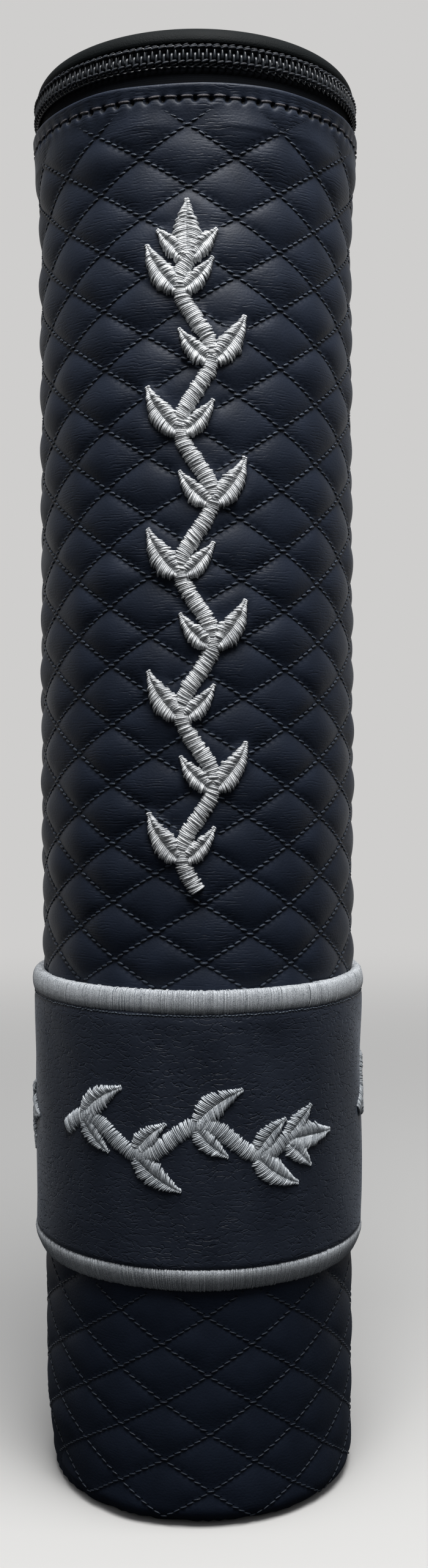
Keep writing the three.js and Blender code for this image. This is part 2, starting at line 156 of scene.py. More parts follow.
# Floor
# A pale board that fades into the backdrop all round, so that no horizon shows.
# It throws less light back than it shows, and reflections see it fade sooner.
def coords(*parts):
    """Points from their coordinates, each an array or one number for all."""
    return np.stack(np.broadcast_arrays(*parts), axis=-1)


def around(radius, azimuth, height):
    """Points on the case from radii, azimuths and heights."""
    return coords(radius * np.sin(azimuth), -radius * np.cos(azimuth), height)


def full_turn(sides):
    return np.arange(sides) * (2 * math.pi / sides)


def grid_faces(rows, columns, rows_close=False, columns_close=True):
    """Four-sided faces over a grid of points, where each row runs round the case."""
    row, column = np.meshgrid(np.arange(rows - 1 + rows_close), np.arange(columns - 1 + columns_close),
                              indexing="ij")
    this, above, beside = row * columns, (row + 1) % rows * columns, (column + 1) % columns
    return coords(this + column, this + beside, above + beside, above + column).reshape(-1, 4)


def piece(name, points, faces, material, shades=None):
    """A smooth-shaded mesh object. Points that fall together on the axis become one. shades gives
    each point a number from 0 to 1 that its material may use."""
    mesh = bpy.data.meshes.new(name)
    mesh.from_pydata(np.reshape(points, (-1, 3)).tolist(), [], [list(face) for face in faces])
    mesh.materials.append(material)
    if shades is not None:
        mesh.attributes.new("shade", "FLOAT", "POINT").data.foreach_set("value", np.ravel(shades))
    shape = bmesh.new()
    shape.from_mesh(mesh)
    bmesh.ops.remove_doubles(shape, verts=shape.verts, dist=0.1e-6)
    shape.to_mesh(mesh)
    shape.free()
    mesh.polygons.foreach_set("use_smooth", np.ones(len(mesh.polygons), bool))
    mesh.update()
    built = bpy.data.objects.new(name, mesh)
    bpy.context.scene.collection.objects.link(built)
    return built


def new_material(name):
    """A material with its node tree and the object's own coordinates."""
    material = bpy.data.materials.new(name)
    material.use_nodes = True
    return material, material.node_tree, add(material.node_tree, "ShaderNodeTexCoord", out="Object")


floor_radius = 0.9
floor_fade_start = 0.16
floor_rings = 24
floor_sides = 96
floor_colour = linear("#cbcac8")
floor_bounce = linear("#252627")

floor_finish, tree, place = new_material("pale_floor")
from_middle = add(tree, "ShaderNodeVectorMath", [place], out="Value", operation="LENGTH")
fade = add(tree, "ShaderNodeMapRange", {
    "Value": from_middle, "From Min": floor_fade_start, "From Max": floor_radius},
    interpolation_type="SMOOTHERSTEP")
mirror_fade = add(tree, "ShaderNodeMapRange", {
    "Value": from_middle, "From Min": 0.6 * floor_fade_start, "From Max": 2 * floor_fade_start}, **smooth)
seen, mirrored = ray_kinds(tree)
mirror_fade = add(tree, "ShaderNodeMath", [mirror_fade, mirrored], operation="MULTIPLY")
fade = add(tree, "ShaderNodeMath", [fade, mirror_fade], operation="MAXIMUM")
shown = add(tree, "ShaderNodeMix", {0: seen, 6: floor_bounce, 7: floor_colour}, out=2, data_type="RGBA")
paint = add(tree, "ShaderNodeBsdfDiffuse", [shown])
clear = add(tree, "ShaderNodeBsdfTransparent")
feed(tree.nodes["Material Output"], [add(tree, "ShaderNodeMixShader", [fade, paint, clear])])
tree.nodes.remove(tree.nodes["Principled BSDF"])

floor_points = around(np.linspace(0, floor_radius, floor_rings)[::-1, None], full_turn(floor_sides), 0.0)
floor = piece("floor", floor_points, grid_faces(floor_rings, floor_sides), floor_finish)


# Board tube and discs
# Grey-brown board made from waste paper, wound into the tube and punched into the discs.
# It is matt and mottled, with short paler and darker fibres, drawn coarser than real so that they show.
def stretched(tree, place, across, up):
    """A place counted in steps of one length on the level and another upwards."""
    steps = (1 / across, 1 / across, 1 / up)
    return add(tree, "ShaderNodeVectorMath", [place, steps], operation="MULTIPLY")


def coat(material, tone, dark, pale, height, depth, values, strength=1, painted_shade=None):
    """Colours a material from dark to pale, bumps it by a height and sets its other inputs.
    Its last argument is a (mask, colour) of painted shade that lies over the two tones."""
    tree = material.node_tree
    colour = linear(dark)
    for share, other in filter(None, ((tone, linear(pale)), painted_shade)):
        colour = add(tree, "ShaderNodeMix", {0: share, 6: colour, 7: other}, out=2, data_type="RGBA")
    bump = add(tree, "ShaderNodeBump", {"Strength": strength, "Distance": depth, "Height": height})
    feed(tree.nodes["Principled BSDF"], {"Base Color": colour, "Normal": bump, **values})


fibre_width = 0.35 * mm
fibre_length = 2.5 * mm
mottle_size = 9 * mm

board, tree, place = new_material("grey_board")
fibre_lay = stretched(tree, place, fibre_width, fibre_length)
fibres = add(tree, "ShaderNodeTexNoise", {"Vector": fibre_lay, "Scale": 1, "Detail": 3})
mottle = add(tree, "ShaderNodeTexNoise", {"Vector": place, "Scale": 1 / mottle_size, "Detail": 4})
flecks = add(tree, "ShaderNodeMath", [fibres, mottle], operation="ADD")
flecks = add(tree, "ShaderNodeMapRange", {"Value": flecks, "From Min": 0.7, "From Max": 1.3})
coat(board, flecks, "#7d674b", "#a89071", fibres, 0.08 * mm, {"Roughness": 0.9})
for node in ("base_board", "tube_core", "lid_board"):
    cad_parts[node].material_slots[0].material = board


# Lining
# Brushed polyester cloth, glued inside the tube and turned over its rim, with a disc on the floor.
# It is matt and dark blue, with a short nap that lies in soft streaks. The nap is drawn in tufts,
# because its single fibres are too fine to show.
nap_width = 0.3 * mm
nap_length = 1.6 * mm
brushed_patch = 12 * mm
cloth_thick = 0.6 * mm
cloth_wander = 0.07 * mm
lining_turn_steps = 6

lining_cloth, tree, place = new_material("brushed_lining_cloth")
nap_lay = stretched(tree, place, nap_width, nap_length)
nap = add(tree, "ShaderNodeTexNoise", {"Vector": nap_lay, "Scale": 1, "Detail": 3})
brushed = add(tree, "ShaderNodeTexNoise", {"Vector": place, "Scale": 1 / brushed_patch, "Detail": 3})
tone = add(tree, "ShaderNodeMath", [nap, brushed], operation="MULTIPLY")
tone = add(tree, "ShaderNodeMapRange", {"Value": tone, "From Min": 0.15, "From Max": 0.4})
coat(lining_cloth, tone, "#161a26", "#2a3042", nap, 0.12 * mm, {
    "Roughness": 0.95, "Specular IOR Level": 0.2, "Sheen Weight": 0.15, "Sheen Roughness": 0.5,
    "Sheen Tint": linear("#5b657f")})


def section(inner, outer, bottom, top, bend, steps=4):
    """A cross-section with round corners, going up its outer side, as radii and heights."""
    turns = np.linspace(0, math.pi / 2, steps + 1)
    corners = [(outer - bend, bottom + bend, -1), (outer - bend, top - bend, 0),
               (inner + bend, top - bend, 1), (inner + bend, bottom + bend, 2)]
    parts = [(radius, height, turns + quarter * math.pi / 2) for radius, height, quarter in corners]
    return np.vstack([coords(r + bend * np.cos(turn), z + bend * np.sin(turn)) for r, z, turn in parts])


def drift(azimuth, height, seed, waves=12, most_turns=14, shortest=16 * mm):
    """A slow wander, mostly between -1 and 1, the same on each run."""
    draw = np.random.default_rng(seed)
    total = 0
    for _ in range(waves):
        turns = draw.integers(1, most_turns)
        climb = draw.uniform(-1, 1) * 2 * math.pi / shortest
        total = total + np.sin(turns * azimuth + climb * height + draw.uniform(0, 2 * math.pi))
    return total * math.sqrt(2 / waves)


def turned(name, outline, material, sides=160, closed=True, wander=0.0, seed=1):
    """A ring, or a disc whose outline starts and ends on the axis, that wanders a little in radius."""
    outline = np.asarray(outline)
    radius, height = outline[:, :1], outline[:, 1:]
    azimuth = full_turn(sides)
    sway = wander * drift(azimuth[None, :], height, seed) * (radius > 0)
    points = around(radius - np.abs(sway), azimuth[None, :], height)
    return piece(name, points, grid_faces(len(outline), sides, rows_close=closed), material)


def fit(built, body, stands_for=None):
    """Rides a piece on its body and hides the solid that it stands for."""
    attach(built, body)
    if stands_for:
        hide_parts(stands_for)


def disc(name, node, material, bend, body, slot, **wander):
    """A round sheet with a rounded rim, as large as the solid that it stands for."""
    low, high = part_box(node)
    rim = section(-high.x, high.x, low.z, high.z, bend)
    spokes = np.linspace(0, high.x - bend, 6)[:-1]
    outline = np.vstack([coords(spokes, low.z), rim[:len(rim) // 2], coords(spokes[::-1], high.z)])
    fit(turned(name, outline, material, closed=False, **wander), body, node)


disc("lining_floor_cloth", "lining_floor", lining_cloth, 0.25 * mm, "case", "lining",
     wander=cloth_wander, seed=2)

sleeve_low, sleeve_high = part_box("lining_sleeve")
bore_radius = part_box("lining_floor")[1].x
lip_turn = np.linspace(0, math.pi / 2, lining_turn_steps)
lip = section(bore_radius, sleeve_high.x, sleeve_high.z - cloth_thick, sleeve_high.z, 0.28 * mm)
inner_bend = 1.0 * mm
inner_turn = coords(bore_radius - cloth_thick + inner_bend * (1 - np.sin(lip_turn)),
                    sleeve_high.z - inner_bend * (1 - np.cos(lip_turn)))
shaft = np.linspace(sleeve_high.z - 2 * inner_bend, sleeve_low.z, 40)
sleeve_outline = np.vstack([
    coords(bore_radius, shaft[::-1]),
    [(bore_radius, sleeve_high.z - cloth_thick)],
    lip[:len(lip) // 2],
    inner_turn,
    coords(bore_radius - cloth_thick, shaft),
])
fit(turned("lining_sleeve_cloth", sleeve_outline, lining_cloth), "case", "lining_sleeve")


# Foam wrap
# A thin sheet of white polyester wadding, wrapped round the tube with its two ends butted.
# It is springy, matt and off-white, drawn with tufts coarser than its fibres.
fluff_size = 0.8 * mm
foam_round = 0.25 * mm

wadding, tree, place = new_material("polyester_wadding")
fluff = add(tree, "ShaderNodeTexNoise", {
    "Vector": place, "Scale": 1 / fluff_size, "Detail": 5, "Distortion": 1.5})
coat(wadding, fluff, "#cfcabb", "#ece8dc", fluff, 0.3 * mm, {"Roughness": 1, "Specular IOR Level": 0.1})

foam_low, foam_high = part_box("quilt_foam")
foam_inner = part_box("tube_core")[1].x + 0.3 * mm
foam_heights = np.linspace(foam_low.z + 2 * foam_round, foam_high.z - 2 * foam_round, 60)
foam_outline = np.vstack([
    coords(foam_high.x, foam_heights),
    [(foam_high.x - foam_round, foam_high.z), (foam_inner + foam_round, foam_high.z)],
    coords(foam_inner, foam_heights[::-1]),
    [(foam_inner + foam_round, foam_low.z), (foam_high.x - foam_round, foam_low.z)],
])
foam_wrap = turned("foam_wrap", foam_outline, wadding, wander=0.06 * mm, seed=4)
fit(foam_wrap, "case", "quilt_foam")


# Leatherette
# Polyurethane-coated cloth, embossed with a fine pebble and wiped with a satin lacquer.
# It gives a near-black navy with a soft sheen, and it creases in short level lines.
crease_sway = 2.6
patch_size = 13 * mm
tone_size = 6 * mm
net_stray = 1.7
hole_depth = 0.22
# Painted shade: the near-black colour laid into the needle holes.
hole_shade_colour = linear("#05070a")


def leatherette(name, pale, dark, pebble=(0.45 * mm, 0.03), creases=(0.66 * mm, 3.6 * mm, 0.054, 0.32),
                roughness=(0.45, 0.6), gloss=0.2, sheen=0.06, holes=None, slack=None, netted=False):
    """Coated cloth of two close colours. pebble is (size, height in mm), and creases is (spacing,
    length, depth in mm, share of the spacing that each takes). holes(tree) and slack(tree) give
    masks: of its needle holes, which dip and are painted near-black as shade, and of where it creases.
    netted joins the creases into a net."""
    material, tree, place = new_material(name)
    spacing, length, depth, crease_share = creases
    grain = add(tree, "ShaderNodeTexVoronoi", {"Vector": place, "Scale": 1 / pebble[0]},
                feature="SMOOTH_F1")
    if netted:
        stray = add(tree, "ShaderNodeTexNoise", {"Vector": place, "Scale": 0.4 / spacing, "Detail": 2},
                    out="Color")
        net = stretched(tree, place, length, spacing)
        net = add(tree, "ShaderNodeVectorMath", [stray, (net_stray,) * 3, net], operation="MULTIPLY_ADD")
        line = add(tree, "ShaderNodeTexVoronoi", {"Vector": net, "Scale": 1}, feature="DISTANCE_TO_EDGE")
    else:
        lie = add(tree, "ShaderNodeTexNoise", {
            "Vector": stretched(tree, place, length / 0.7, 4 * spacing), "Scale": 1, "Detail": 2.5,
            "Distortion": 0.4})
        line = add(tree, "ShaderNodeSeparateXYZ", [place], out="Z")
        line = add(tree, "ShaderNodeMath", [line, 1 / spacing], operation="MULTIPLY")
        line = add(tree, "ShaderNodeMath", [lie, crease_sway, line], operation="MULTIPLY_ADD")
        line = add(tree, "ShaderNodeMath", [line, 0.5], operation="PINGPONG")
    valley = add(tree, "ShaderNodeMapRange", {
        "Value": line, "From Max": crease_share, "To Min": -depth, "To Max": 0}, **smooth)
    broken = add(tree, "ShaderNodeTexNoise", {
        "Vector": stretched(tree, place, length, 1.25 * spacing), "Scale": 1, "Detail": 1,
        "Distortion": 1.2})
    broken = add(tree, "ShaderNodeMapRange", {
        "Value": broken, "From Min": 0.4, "From Max": 0.62}, **smooth)
    patch = add(tree, "ShaderNodeTexNoise", {"Vector": place, "Scale": 1 / patch_size, "Detail": 2})
    worked = add(tree, "ShaderNodeMapRange", {
        "Value": patch, "From Min": 0.38, "From Max": 0.6, "To Min": 0.55 if netted else 0.15}, **smooth)
    amount = add(tree, "ShaderNodeMath", [worked, broken], operation="MULTIPLY")
    amount = add(tree, "ShaderNodeMath", [amount, slack(tree) if slack else 0.5], operation="MULTIPLY")
    folds = add(tree, "ShaderNodeMath", [valley, amount], operation="MULTIPLY")
    height = add(tree, "ShaderNodeMath", [grain, pebble[1], folds], operation="MULTIPLY_ADD")

    tone = add(tree, "ShaderNodeTexNoise", {"Vector": place, "Scale": 1 / tone_size, "Detail": 4})
    satin = add(tree, "ShaderNodeMapRange", {
        "Value": tone, "To Min": roughness[0], "To Max": roughness[1]})
    # The needle holes dip in the height and also get painted shade, a near-black colour.
    painted_shade = holes and (holes(tree), hole_shade_colour)
    if painted_shade:
        height = add(tree, "ShaderNodeMath", [painted_shade[0], -hole_depth, height], operation="MULTIPLY_ADD")
    coat(material, tone, dark, pale, height, mm, {
        "Roughness": satin, "Specular IOR Level": gloss, "Sheen Weight": sheen, "Sheen Roughness": 0.4,
        "Sheen Tint": linear("#8793a4")}, painted_shade=painted_shade)
    return material


# Base cover
# A disc of board covered in the same leatherette, pressed in under the foot of the skin.
# This plain leatherette has no quilting, and the hinge strip is cut from it too.
navy_pale, navy_dark = "#1d2534", "#111722"
plain_leather = leatherette("plain_leatherette", navy_pale, navy_dark)
disc("base_leatherette", "base_cover", plain_leather, 0.4 * mm, "case", "leatherette")


# Quilting
# Leatherette over wadding, sewn in diamonds, eleven round the case, drawn in towards the foot.
# At the top it runs up over the folded hem, which is top-stitched through.
diamonds = 11
cells = 16
diamond_height = 12.39 * mm
first_row = 8 * mm
crest_radius = 36.19 * mm
quilt_depth = 1.0 * mm
puff_power = 0.5
valley_round = 0.03
valley_rise = (1 + valley_round) ** puff_power - valley_round ** puff_power
draw_in = 1.1 * mm
draw_in_height = 150 * mm
swell = 0.9 * mm
foot_puff = 0.5
foot_zone = (50 * mm, 110 * mm)
pillow_uneven = 0.12 * mm
hem_fade = 0.85
hem_seam = 293 * mm
swell_start = 281 * mm
fade_start, fade_end = 289 * mm, 298 * mm
lattice_sway = 0.3 * mm
lean_heights = np.array([0, 45, 115, 212, 290]) * mm
leans = np.array([2.0, 2.0, 1.4, -0.25, -1.6]) * mm
front_draws = np.array([0.03, 0.03, 0.045, 0.055, 0])
side_sags = np.array([1.0, 1.2, 1.5, 0.3, 0]) * mm
settled_heights = np.array([6, 20, 50, 120, 140, 200, 215, 245]) * mm
settled = np.array([-0.1, -0.6, -0.7, -1.3, -1.2, -0.8, -0.3, 0.8]) * mm
corner = 4.5 * mm
under_width = 1.3 * mm
foot_gathers = 47
gather_depth = 0.3 * mm
foot_pulls = [(-78, 34, 1.5 * mm), (-24, 9, -0.35 * mm), (40, 30, -0.25 * mm), (150, 40, 0.5 * mm)]


def smooth_step(value, low, high):
    share = np.clip((value - low) / (high - low), 0, 1)
    return share * share * (3 - 2 * share)


def crest_at(height):
    """Radius of the quilting's crests at a height."""
    narrowed = draw_in * np.maximum(0, 1 - height / draw_in_height)
    return crest_radius - narrowed + swell * smooth_step(height, swell_start, hem_seam)


def seams(azimuth, run):
    """Places counted across the two families of seams, which lie at whole numbers."""
    across = azimuth * diamonds / (2 * math.pi)
    along = (run - first_row) / diamond_height
    return across + along, across - along


foot_radius = crest_at(corner) - corner
corner_run = corner - corner * math.pi / 2


def skirt(run):
    """Radius, height and outward tilt where the skin has run that far up from the foot."""
    turn = np.clip((corner - run) / corner, 0, math.pi / 2)
    flat = np.minimum(run - corner_run, 0)
    radius = np.where(run > corner, crest_at(run), foot_radius + corner * np.cos(turn) + flat)
    height = np.where(run > corner, run, corner * (1 - np.sin(turn)))
    return radius, height, turn


# Embroidery on the front
# A leafy stem of satin stitch, in silver-grey rayon thread laid square across each stroke.
# Its lines come first, because the stitching presses the quilting flat beneath it.
vine_bottom = 134 * mm
vine_length = 134 * mm
vine_bends = 9
vine_sway = 3.4 * mm
stem_half = 1.8 * mm
leaf_length = 12 * mm
leaf_half = 2.8 * mm
leaf_tip_share = 1 / 6
leaf_belly_share = 0.85
leaf_root_share = 0.4
tip_root_share = 0.98
bend_leaves = [(0.95, -0.35, 1.0), (-1.05, 0.3, 0.8)]
tip_leaves = [(0, 0, 1.1), (0.75, 0, 0.8), (-0.75, 0, 0.8)]
thread_spacing = 0.37 * mm


def even_steps(line_at, spacing):
    """Shares along a line, from 0 to 1, that lie an even spacing apart."""
    shares = np.linspace(0, 1, 400)
    runs = np.linalg.norm(np.diff(line_at(shares), axis=0), axis=1).cumsum()
    runs = np.insert(runs, 0, 0)
    return np.interp(np.arange(0, runs[-1], spacing), runs, shares)


def vine(length, bends, spacing):
    """Strokes of a wavy stem and its leaves: (centres, left-hand directions, half widths, is a leaf)."""
    def stem_at(share):
        return coords(length * share, vine_sway * np.sin(math.pi * bends * share))

    lines = [(stem_at, lambda share: np.full_like(share, stem_half), False)]
    shoots = [(leaf, (k + leaf_root_share) / bends, -1 if k % 2 else 1)
              for k in range(bends) for leaf in bend_leaves]
    shoots += [(leaf, tip_root_share, 1) for leaf in tip_leaves]
    for (heading, curl, size), root_share, side in shoots:
        turn, root, span = side * heading, stem_at(np.array(root_share)), leaf_length * size

        def leaf_at(share, turn=turn, root=root, span=span, bow=side * curl):
            out, over = span * share, bow * span * share ** 2
            return root + coords(out * math.cos(turn) - over * math.sin(turn),
                                 out * math.sin(turn) + over * math.cos(turn))

        def leaf_width(share, size=size):
            belly = np.sin(math.pi * share ** leaf_belly_share)
            return leaf_half * size * np.maximum(leaf_tip_share, belly)

        lines.append((leaf_at, leaf_width, True))
    strokes = []
    for line_at, width_at, is_leaf in lines:
        shares = even_steps(line_at, spacing)
        ahead = line_at(shares + 0.001) - line_at(shares)
        ahead /= np.linalg.norm(ahead, axis=1, keepdims=True)
        left = coords(-ahead[:, 1], ahead[:, 0])
        strokes.append((line_at(shares), left, width_at(shares), is_leaf))
    return strokes


front_strokes = vine(vine_length, vine_bends, thread_spacing)
pressed_depth = 0.3 * mm
pressed_margin = 1.3 * mm


def pressed(azimuth, height):
    """How far the front embroidery presses the quilting flat: 1 under it, 0 clear of it."""
    azimuth, height = np.broadcast_arrays((azimuth + math.pi) % (2 * math.pi) - math.pi, height)
    share = np.zeros(azimuth.shape)
    across = -azimuth * crest_radius
    along = height - vine_bottom
    near = (np.abs(across) < 14 * mm) & (along > -6 * mm) & (along < vine_length + 18 * mm)
    if not near.any():
        return share
    places = coords(along[near], across[near])
    clear = np.full(len(places), 1.0)
    for centres, _, halves, _ in front_strokes:
        for centre, half in zip(centres[::3], halves[::3]):
            clear = np.minimum(clear, np.linalg.norm(places - centre, axis=1) - half)
    share[near] = 1 - smooth_step(clear, 0, pressed_margin)
    return share


# Quilted wall
# The sewn skin itself: a pillow in each diamond, gathered under at the foot, a rolled hem on top.
# The mesh folds along the seams; the finish adds the creases and the needle holes, which dip and are
# painted near-black as shade.
hole_radius = 0.36 * mm
seam_hole_share = 0.55
hem_hole_radius = 0.85 * mm
hem_hole_drop = 0.4 * mm
pit_depth, pit_across, pit_up = 1.0 * mm, 0.5 * mm, 0.55 * mm
pucker_depth, pucker_reach = 0.12 * mm, 1.3 * mm
hem_uneven = 0.08 * mm
top_uneven = 0.12 * mm
stitches_per_side = 7
seam_spacing = 10.6 * mm
stitch_step = 1.72 * mm
hem_stitches = 68
hem_stitch_height = 299.25 * mm
hem_radius = 37.1 * mm
hem_pitch = 2 * math.pi * hem_radius / hem_stitches
hidden_from, hidden_to = 55 * mm, 108 * mm
hem_outline = np.array([
    (37.12, 293.4), (37.13, 295.2), (37.16, 297.0), (37.14, 298.3), (36.94, 299.2), (37.02, 300.0),
    (37.24, 300.9), (37.42, 301.6), (37.36, 302.05), (37.0, 302.3), (36.4, 302.15), (35.95, 300.8),
]) * mm
inner_outline = np.array([(35.95, 297), (35.95, 293.7), (33.72, 293.7), (33.72, 200), (33.72, 100),
                          (33.72, 4.2), (32.6, 1.3)]) * mm


def smoothed(points, steps):
    """A smooth line through given points, with steps short runs between each two."""
    points = np.asarray(points, float)
    ends = np.vstack([2 * points[0] - points[1], points, 2 * points[-1] - points[-2]])
    t = np.arange(steps)[:, None] / steps
    runs = [b + 0.5 * t * (c - a + t * (2 * a - 5 * b + 4 * c - d + t * (3 * b - a - 3 * c + d)))
            for a, b, c, d in zip(ends, ends[1:], ends[2:], ends[3:])]
    return np.vstack([*runs, points[-1:]])


def wandered(azimuth, run):
    """Where a place of the even lattice lies once it has been sewn and pulled over the tube."""
    calm = smooth_step(run, 0, 14 * mm) * (1 - smooth_step(run, 274 * mm, hem_seam))
    sways = [lattice_sway * calm * drift(azimuth, run, seed, most_turns=5, shortest=70 * mm)
             for seed in (81, 83)]
    lean, draw, sag = (np.interp(run, lean_heights, table) for table in (leans, front_draws, side_sags))
    east = lean - crest_radius * draw * np.sin(azimuth) + sways[0]
    rise = np.interp(run, settled_heights, settled) - sag * np.sin(azimuth) + sways[1]
    return azimuth + east / crest_radius, run + rise


top_turn = leans[-1] / crest_radius
top_rise = settled[-1]


def quilt_dip(azimuth, run, place_azimuth, place_run):
    """How far the skin lies inside its crests."""
    rising, falling = seams(azimuth, run)
    puff = np.abs(np.sin(math.pi * rising) * np.sin(math.pi * falling))
    puff = ((puff + valley_round) ** puff_power - valley_round ** puff_power) / valley_rise
    shown = smooth_step(run, -3 * mm, 7 * mm) * (1 - hem_fade * smooth_step(run, fade_start, fade_end))
    shown = shown * (foot_puff + (1 - foot_puff) * smooth_step(run, *foot_zone))
    uneven = pillow_uneven * drift(azimuth, run, 3) * puff
    dip = (quilt_depth * (1 - puff) - uneven) * shown
    flat = pressed(place_azimuth, place_run)
    return dip * (1 - flat) + pressed_depth * flat


def skin(run, azimuth):
    """Points of the quilted skin at places of the even lattice."""
    place_azimuth, place_run = wandered(azimuth, run)
    dip = quilt_dip(azimuth, run, place_azimuth, place_run)
    gather = 0.5 + 0.5 * np.sin(foot_gathers * azimuth + 3 * drift(azimuth, run, 5))
    dip = dip + gather_depth * gather * smooth_step(run, 3.5 * mm, -1 * mm) * (run > corner_run)
    low = smooth_step(run, 17 * mm, 2 * mm) * smooth_step(run, corner_run + 1.5 * mm, corner_run + 4 * mm)
    for middle, reach, depth in foot_pulls:
        off = (np.degrees(place_azimuth) - middle + 180) % 360 - 180
        dip = dip + depth * low * np.exp(-(off / reach) ** 2)
    radius, height, turn = skirt(place_run)
    return around(radius - dip * np.cos(turn), place_azimuth, height + dip * np.sin(turn))


def hem_skin(line, azimuth):
    """Points of the hem over its outline: pits at the needle holes and puckers between them."""
    radius, height = line[:, :1], line[:, 1:]
    outside = smooth_step(radius, 36.2 * mm, 36.8 * mm)
    fading = outside * smooth_step(height, 299 * mm, 296 * mm)
    dip = quilt_dip(azimuth - top_turn, height - top_rise, azimuth, height) * fading
    phase = azimuth * hem_stitches / (2 * math.pi)
    off = np.abs((phase + 0.5) % 1 - 0.5) * hem_pitch
    level = height - hem_stitch_height
    pit = pit_depth * np.exp(-(off / pit_across) ** 2 - ((level + hem_hole_drop) / pit_up) ** 2)
    pucker = pucker_depth * np.cos(2 * math.pi * phase) * np.exp(-np.abs(level) / pucker_reach)
    dip = dip + outside * (pit + pucker + hem_uneven * drift(azimuth, height, 7))
    lift = top_uneven * drift(azimuth, 0 * height, 9, most_turns=9)
    lift = lift * smooth_step(height, 299.5 * mm, 301.8 * mm)
    return around(radius - dip, azimuth, height + lift)


def seam_lines(tree):
    """The wall's places from its lattice UV: across, up, and across the two families of seams."""
    lattice = add(tree, "ShaderNodeUVMap", uv_map="lattice")
    across, up = add(tree, "ShaderNodeSeparateXYZ", [lattice]).node.outputs[:2]
    rising = add(tree, "ShaderNodeMath", [across, up], operation="ADD")
    falling = add(tree, "ShaderNodeMath", [across, up], operation="SUBTRACT")
    return across, up, rising, falling


def seam_holes(tree):
    """Mask of the needle holes between the stitches of the diamonds and along the hem."""
    def off(place, radii):
        """How far a place lies from the nearest whole number, in hole radii."""
        away = add(tree, "ShaderNodeMath", [place, 0.5], operation="PINGPONG")
        return add(tree, "ShaderNodeMath", [away, radii], operation="MULTIPLY")

    across, up, rising, falling = seam_lines(tree)
    below = add(tree, "ShaderNodeMapRange", {
        "Value": up, "From Min": fade_place, "From Max": last_stitch_place, "To Min": seam_hole_share,
        "To Max": 0})
    masks = []
    for seam, way in ((rising, falling), (falling, rising)):
        step = add(tree, "ShaderNodeMath", [way, stitches_per_side, 0.5], operation="MULTIPLY_ADD")
        masks.append((off(seam, seam_spacing / hole_radius), off(step, stitch_step / hole_radius), below))
    hem_up = add(tree, "ShaderNodeMath", [up, hem_place], operation="SUBTRACT")
    hem_up = add(tree, "ShaderNodeMath", [hem_up, diamond_height / hem_hole_radius], operation="MULTIPLY")
    hem_start_step = top_turn * hem_stitches / (2 * math.pi)
    hem_step = add(tree, "ShaderNodeMath", [across, hem_stitches / diamonds, hem_start_step],
                   operation="MULTIPLY_ADD")
    masks.append((hem_up, off(hem_step, hem_pitch / hem_hole_radius), 1.0))
    total = 0.0
    for first, second, share in masks:
        reach = add(tree, "ShaderNodeCombineXYZ", [first, second])
        reach = add(tree, "ShaderNodeVectorMath", [reach], out="Value", operation="LENGTH")
        hole = add(tree, "ShaderNodeMapRange", {
            "Value": reach, "From Min": 0.3, "From Max": 1.1, "To Min": 1, "To Max": 0}, **smooth)
        hole = add(tree, "ShaderNodeMath", [hole, share], operation="MULTIPLY")
        total = add(tree, "ShaderNodeMath", [total, hole], operation="MAXIMUM")
    return total


def slack_places(tree):
    """Where a pillow's skin is slack and creases: the middle and lower part of each diamond.
    At the foot it is pulled tight."""
    _, up, rising, falling = seam_lines(tree)
    rising, falling = (add(tree, "ShaderNodeMath", [seam], operation="FRACT")
                       for seam in (rising, falling))
    climb = add(tree, "ShaderNodeMath", [rising, falling], operation="SUBTRACT")
    loose = add(tree, "ShaderNodeMapRange", {
        "Value": climb, "From Min": -0.1, "From Max": 0.7, "To Min": 1, "To Max": 0.15}, **smooth)
    above_foot = add(tree, "ShaderNodeMapRange", {
        "Value": up, "From Min": 3.5, "From Max": 8, "To Min": 0.2})
    return add(tree, "ShaderNodeMath", [loose, above_foot], operation="MULTIPLY")


row_step = diamond_height / cells
wall_rows = first_row + row_step * np.arange(
    math.ceil((corner_run - under_width - first_row) / row_step),
    math.floor((hem_seam - top_rise - first_row) / row_step) + 1)
shown_rows = (wall_rows < hidden_from) | (wall_rows > hidden_to) | (np.arange(len(wall_rows)) % 6 == 0)
wall_rows = wall_rows[shown_rows]
wall_columns = diamonds * cells
hem_columns = 4 * wall_columns
hem_line = np.vstack([smoothed(hem_outline, 3), inner_outline])
hem_lengths = np.append(0, np.linalg.norm(np.diff(hem_line, axis=0), axis=1).cumsum())
hem_runs = hem_line[0, 1] + hem_lengths - top_rise
hem_hole_run = np.interp(hem_stitch_height - hem_hole_drop, hem_line[:18, 1], hem_runs[:18])
hem_place, fade_place, last_stitch_place = (
    (run - first_row) / diamond_height for run in (hem_hole_run, 291 * mm, 297 * mm))
low_points = skin(wall_rows[:, None], full_turn(wall_columns)[None, :])
high_points = hem_skin(hem_line, full_turn(hem_columns)[None, :] + top_turn)
cells_round = grid_faces(len(low_points), wall_columns)
radii = np.linalg.norm(low_points.reshape(-1, 3)[:, :2], axis=1)[cells_round]
fold_rises = (radii[:, 0] + radii[:, 2] <= radii[:, 1] + radii[:, 3])[:, None]
low_faces = np.concatenate([
    np.where(fold_rises, cells_round[:, rising_half], cells_round[:, falling_half])
    for rising_half, falling_half in (([0, 1, 2], [0, 1, 3]), ([0, 2, 3], [1, 2, 3]))])
hem_start = low_points.size // 3


def joined(wall_start, hem_start, step):
    """Faces between a row of the wall and one of the hem, where four columns stand over each one."""
    column = np.arange(wall_columns)
    a, b = wall_start + column, wall_start + (column + 1) % wall_columns
    c, d, e, f, g = (hem_start + (4 * column + k) % hem_columns for k in range(5))
    faces = np.array([(a, d, c), (a, e, d), (a, b, e), (b, f, e), (b, g, f)])
    return faces.transpose(2, 0, 1)[..., ::step].reshape(-1, 3).tolist()


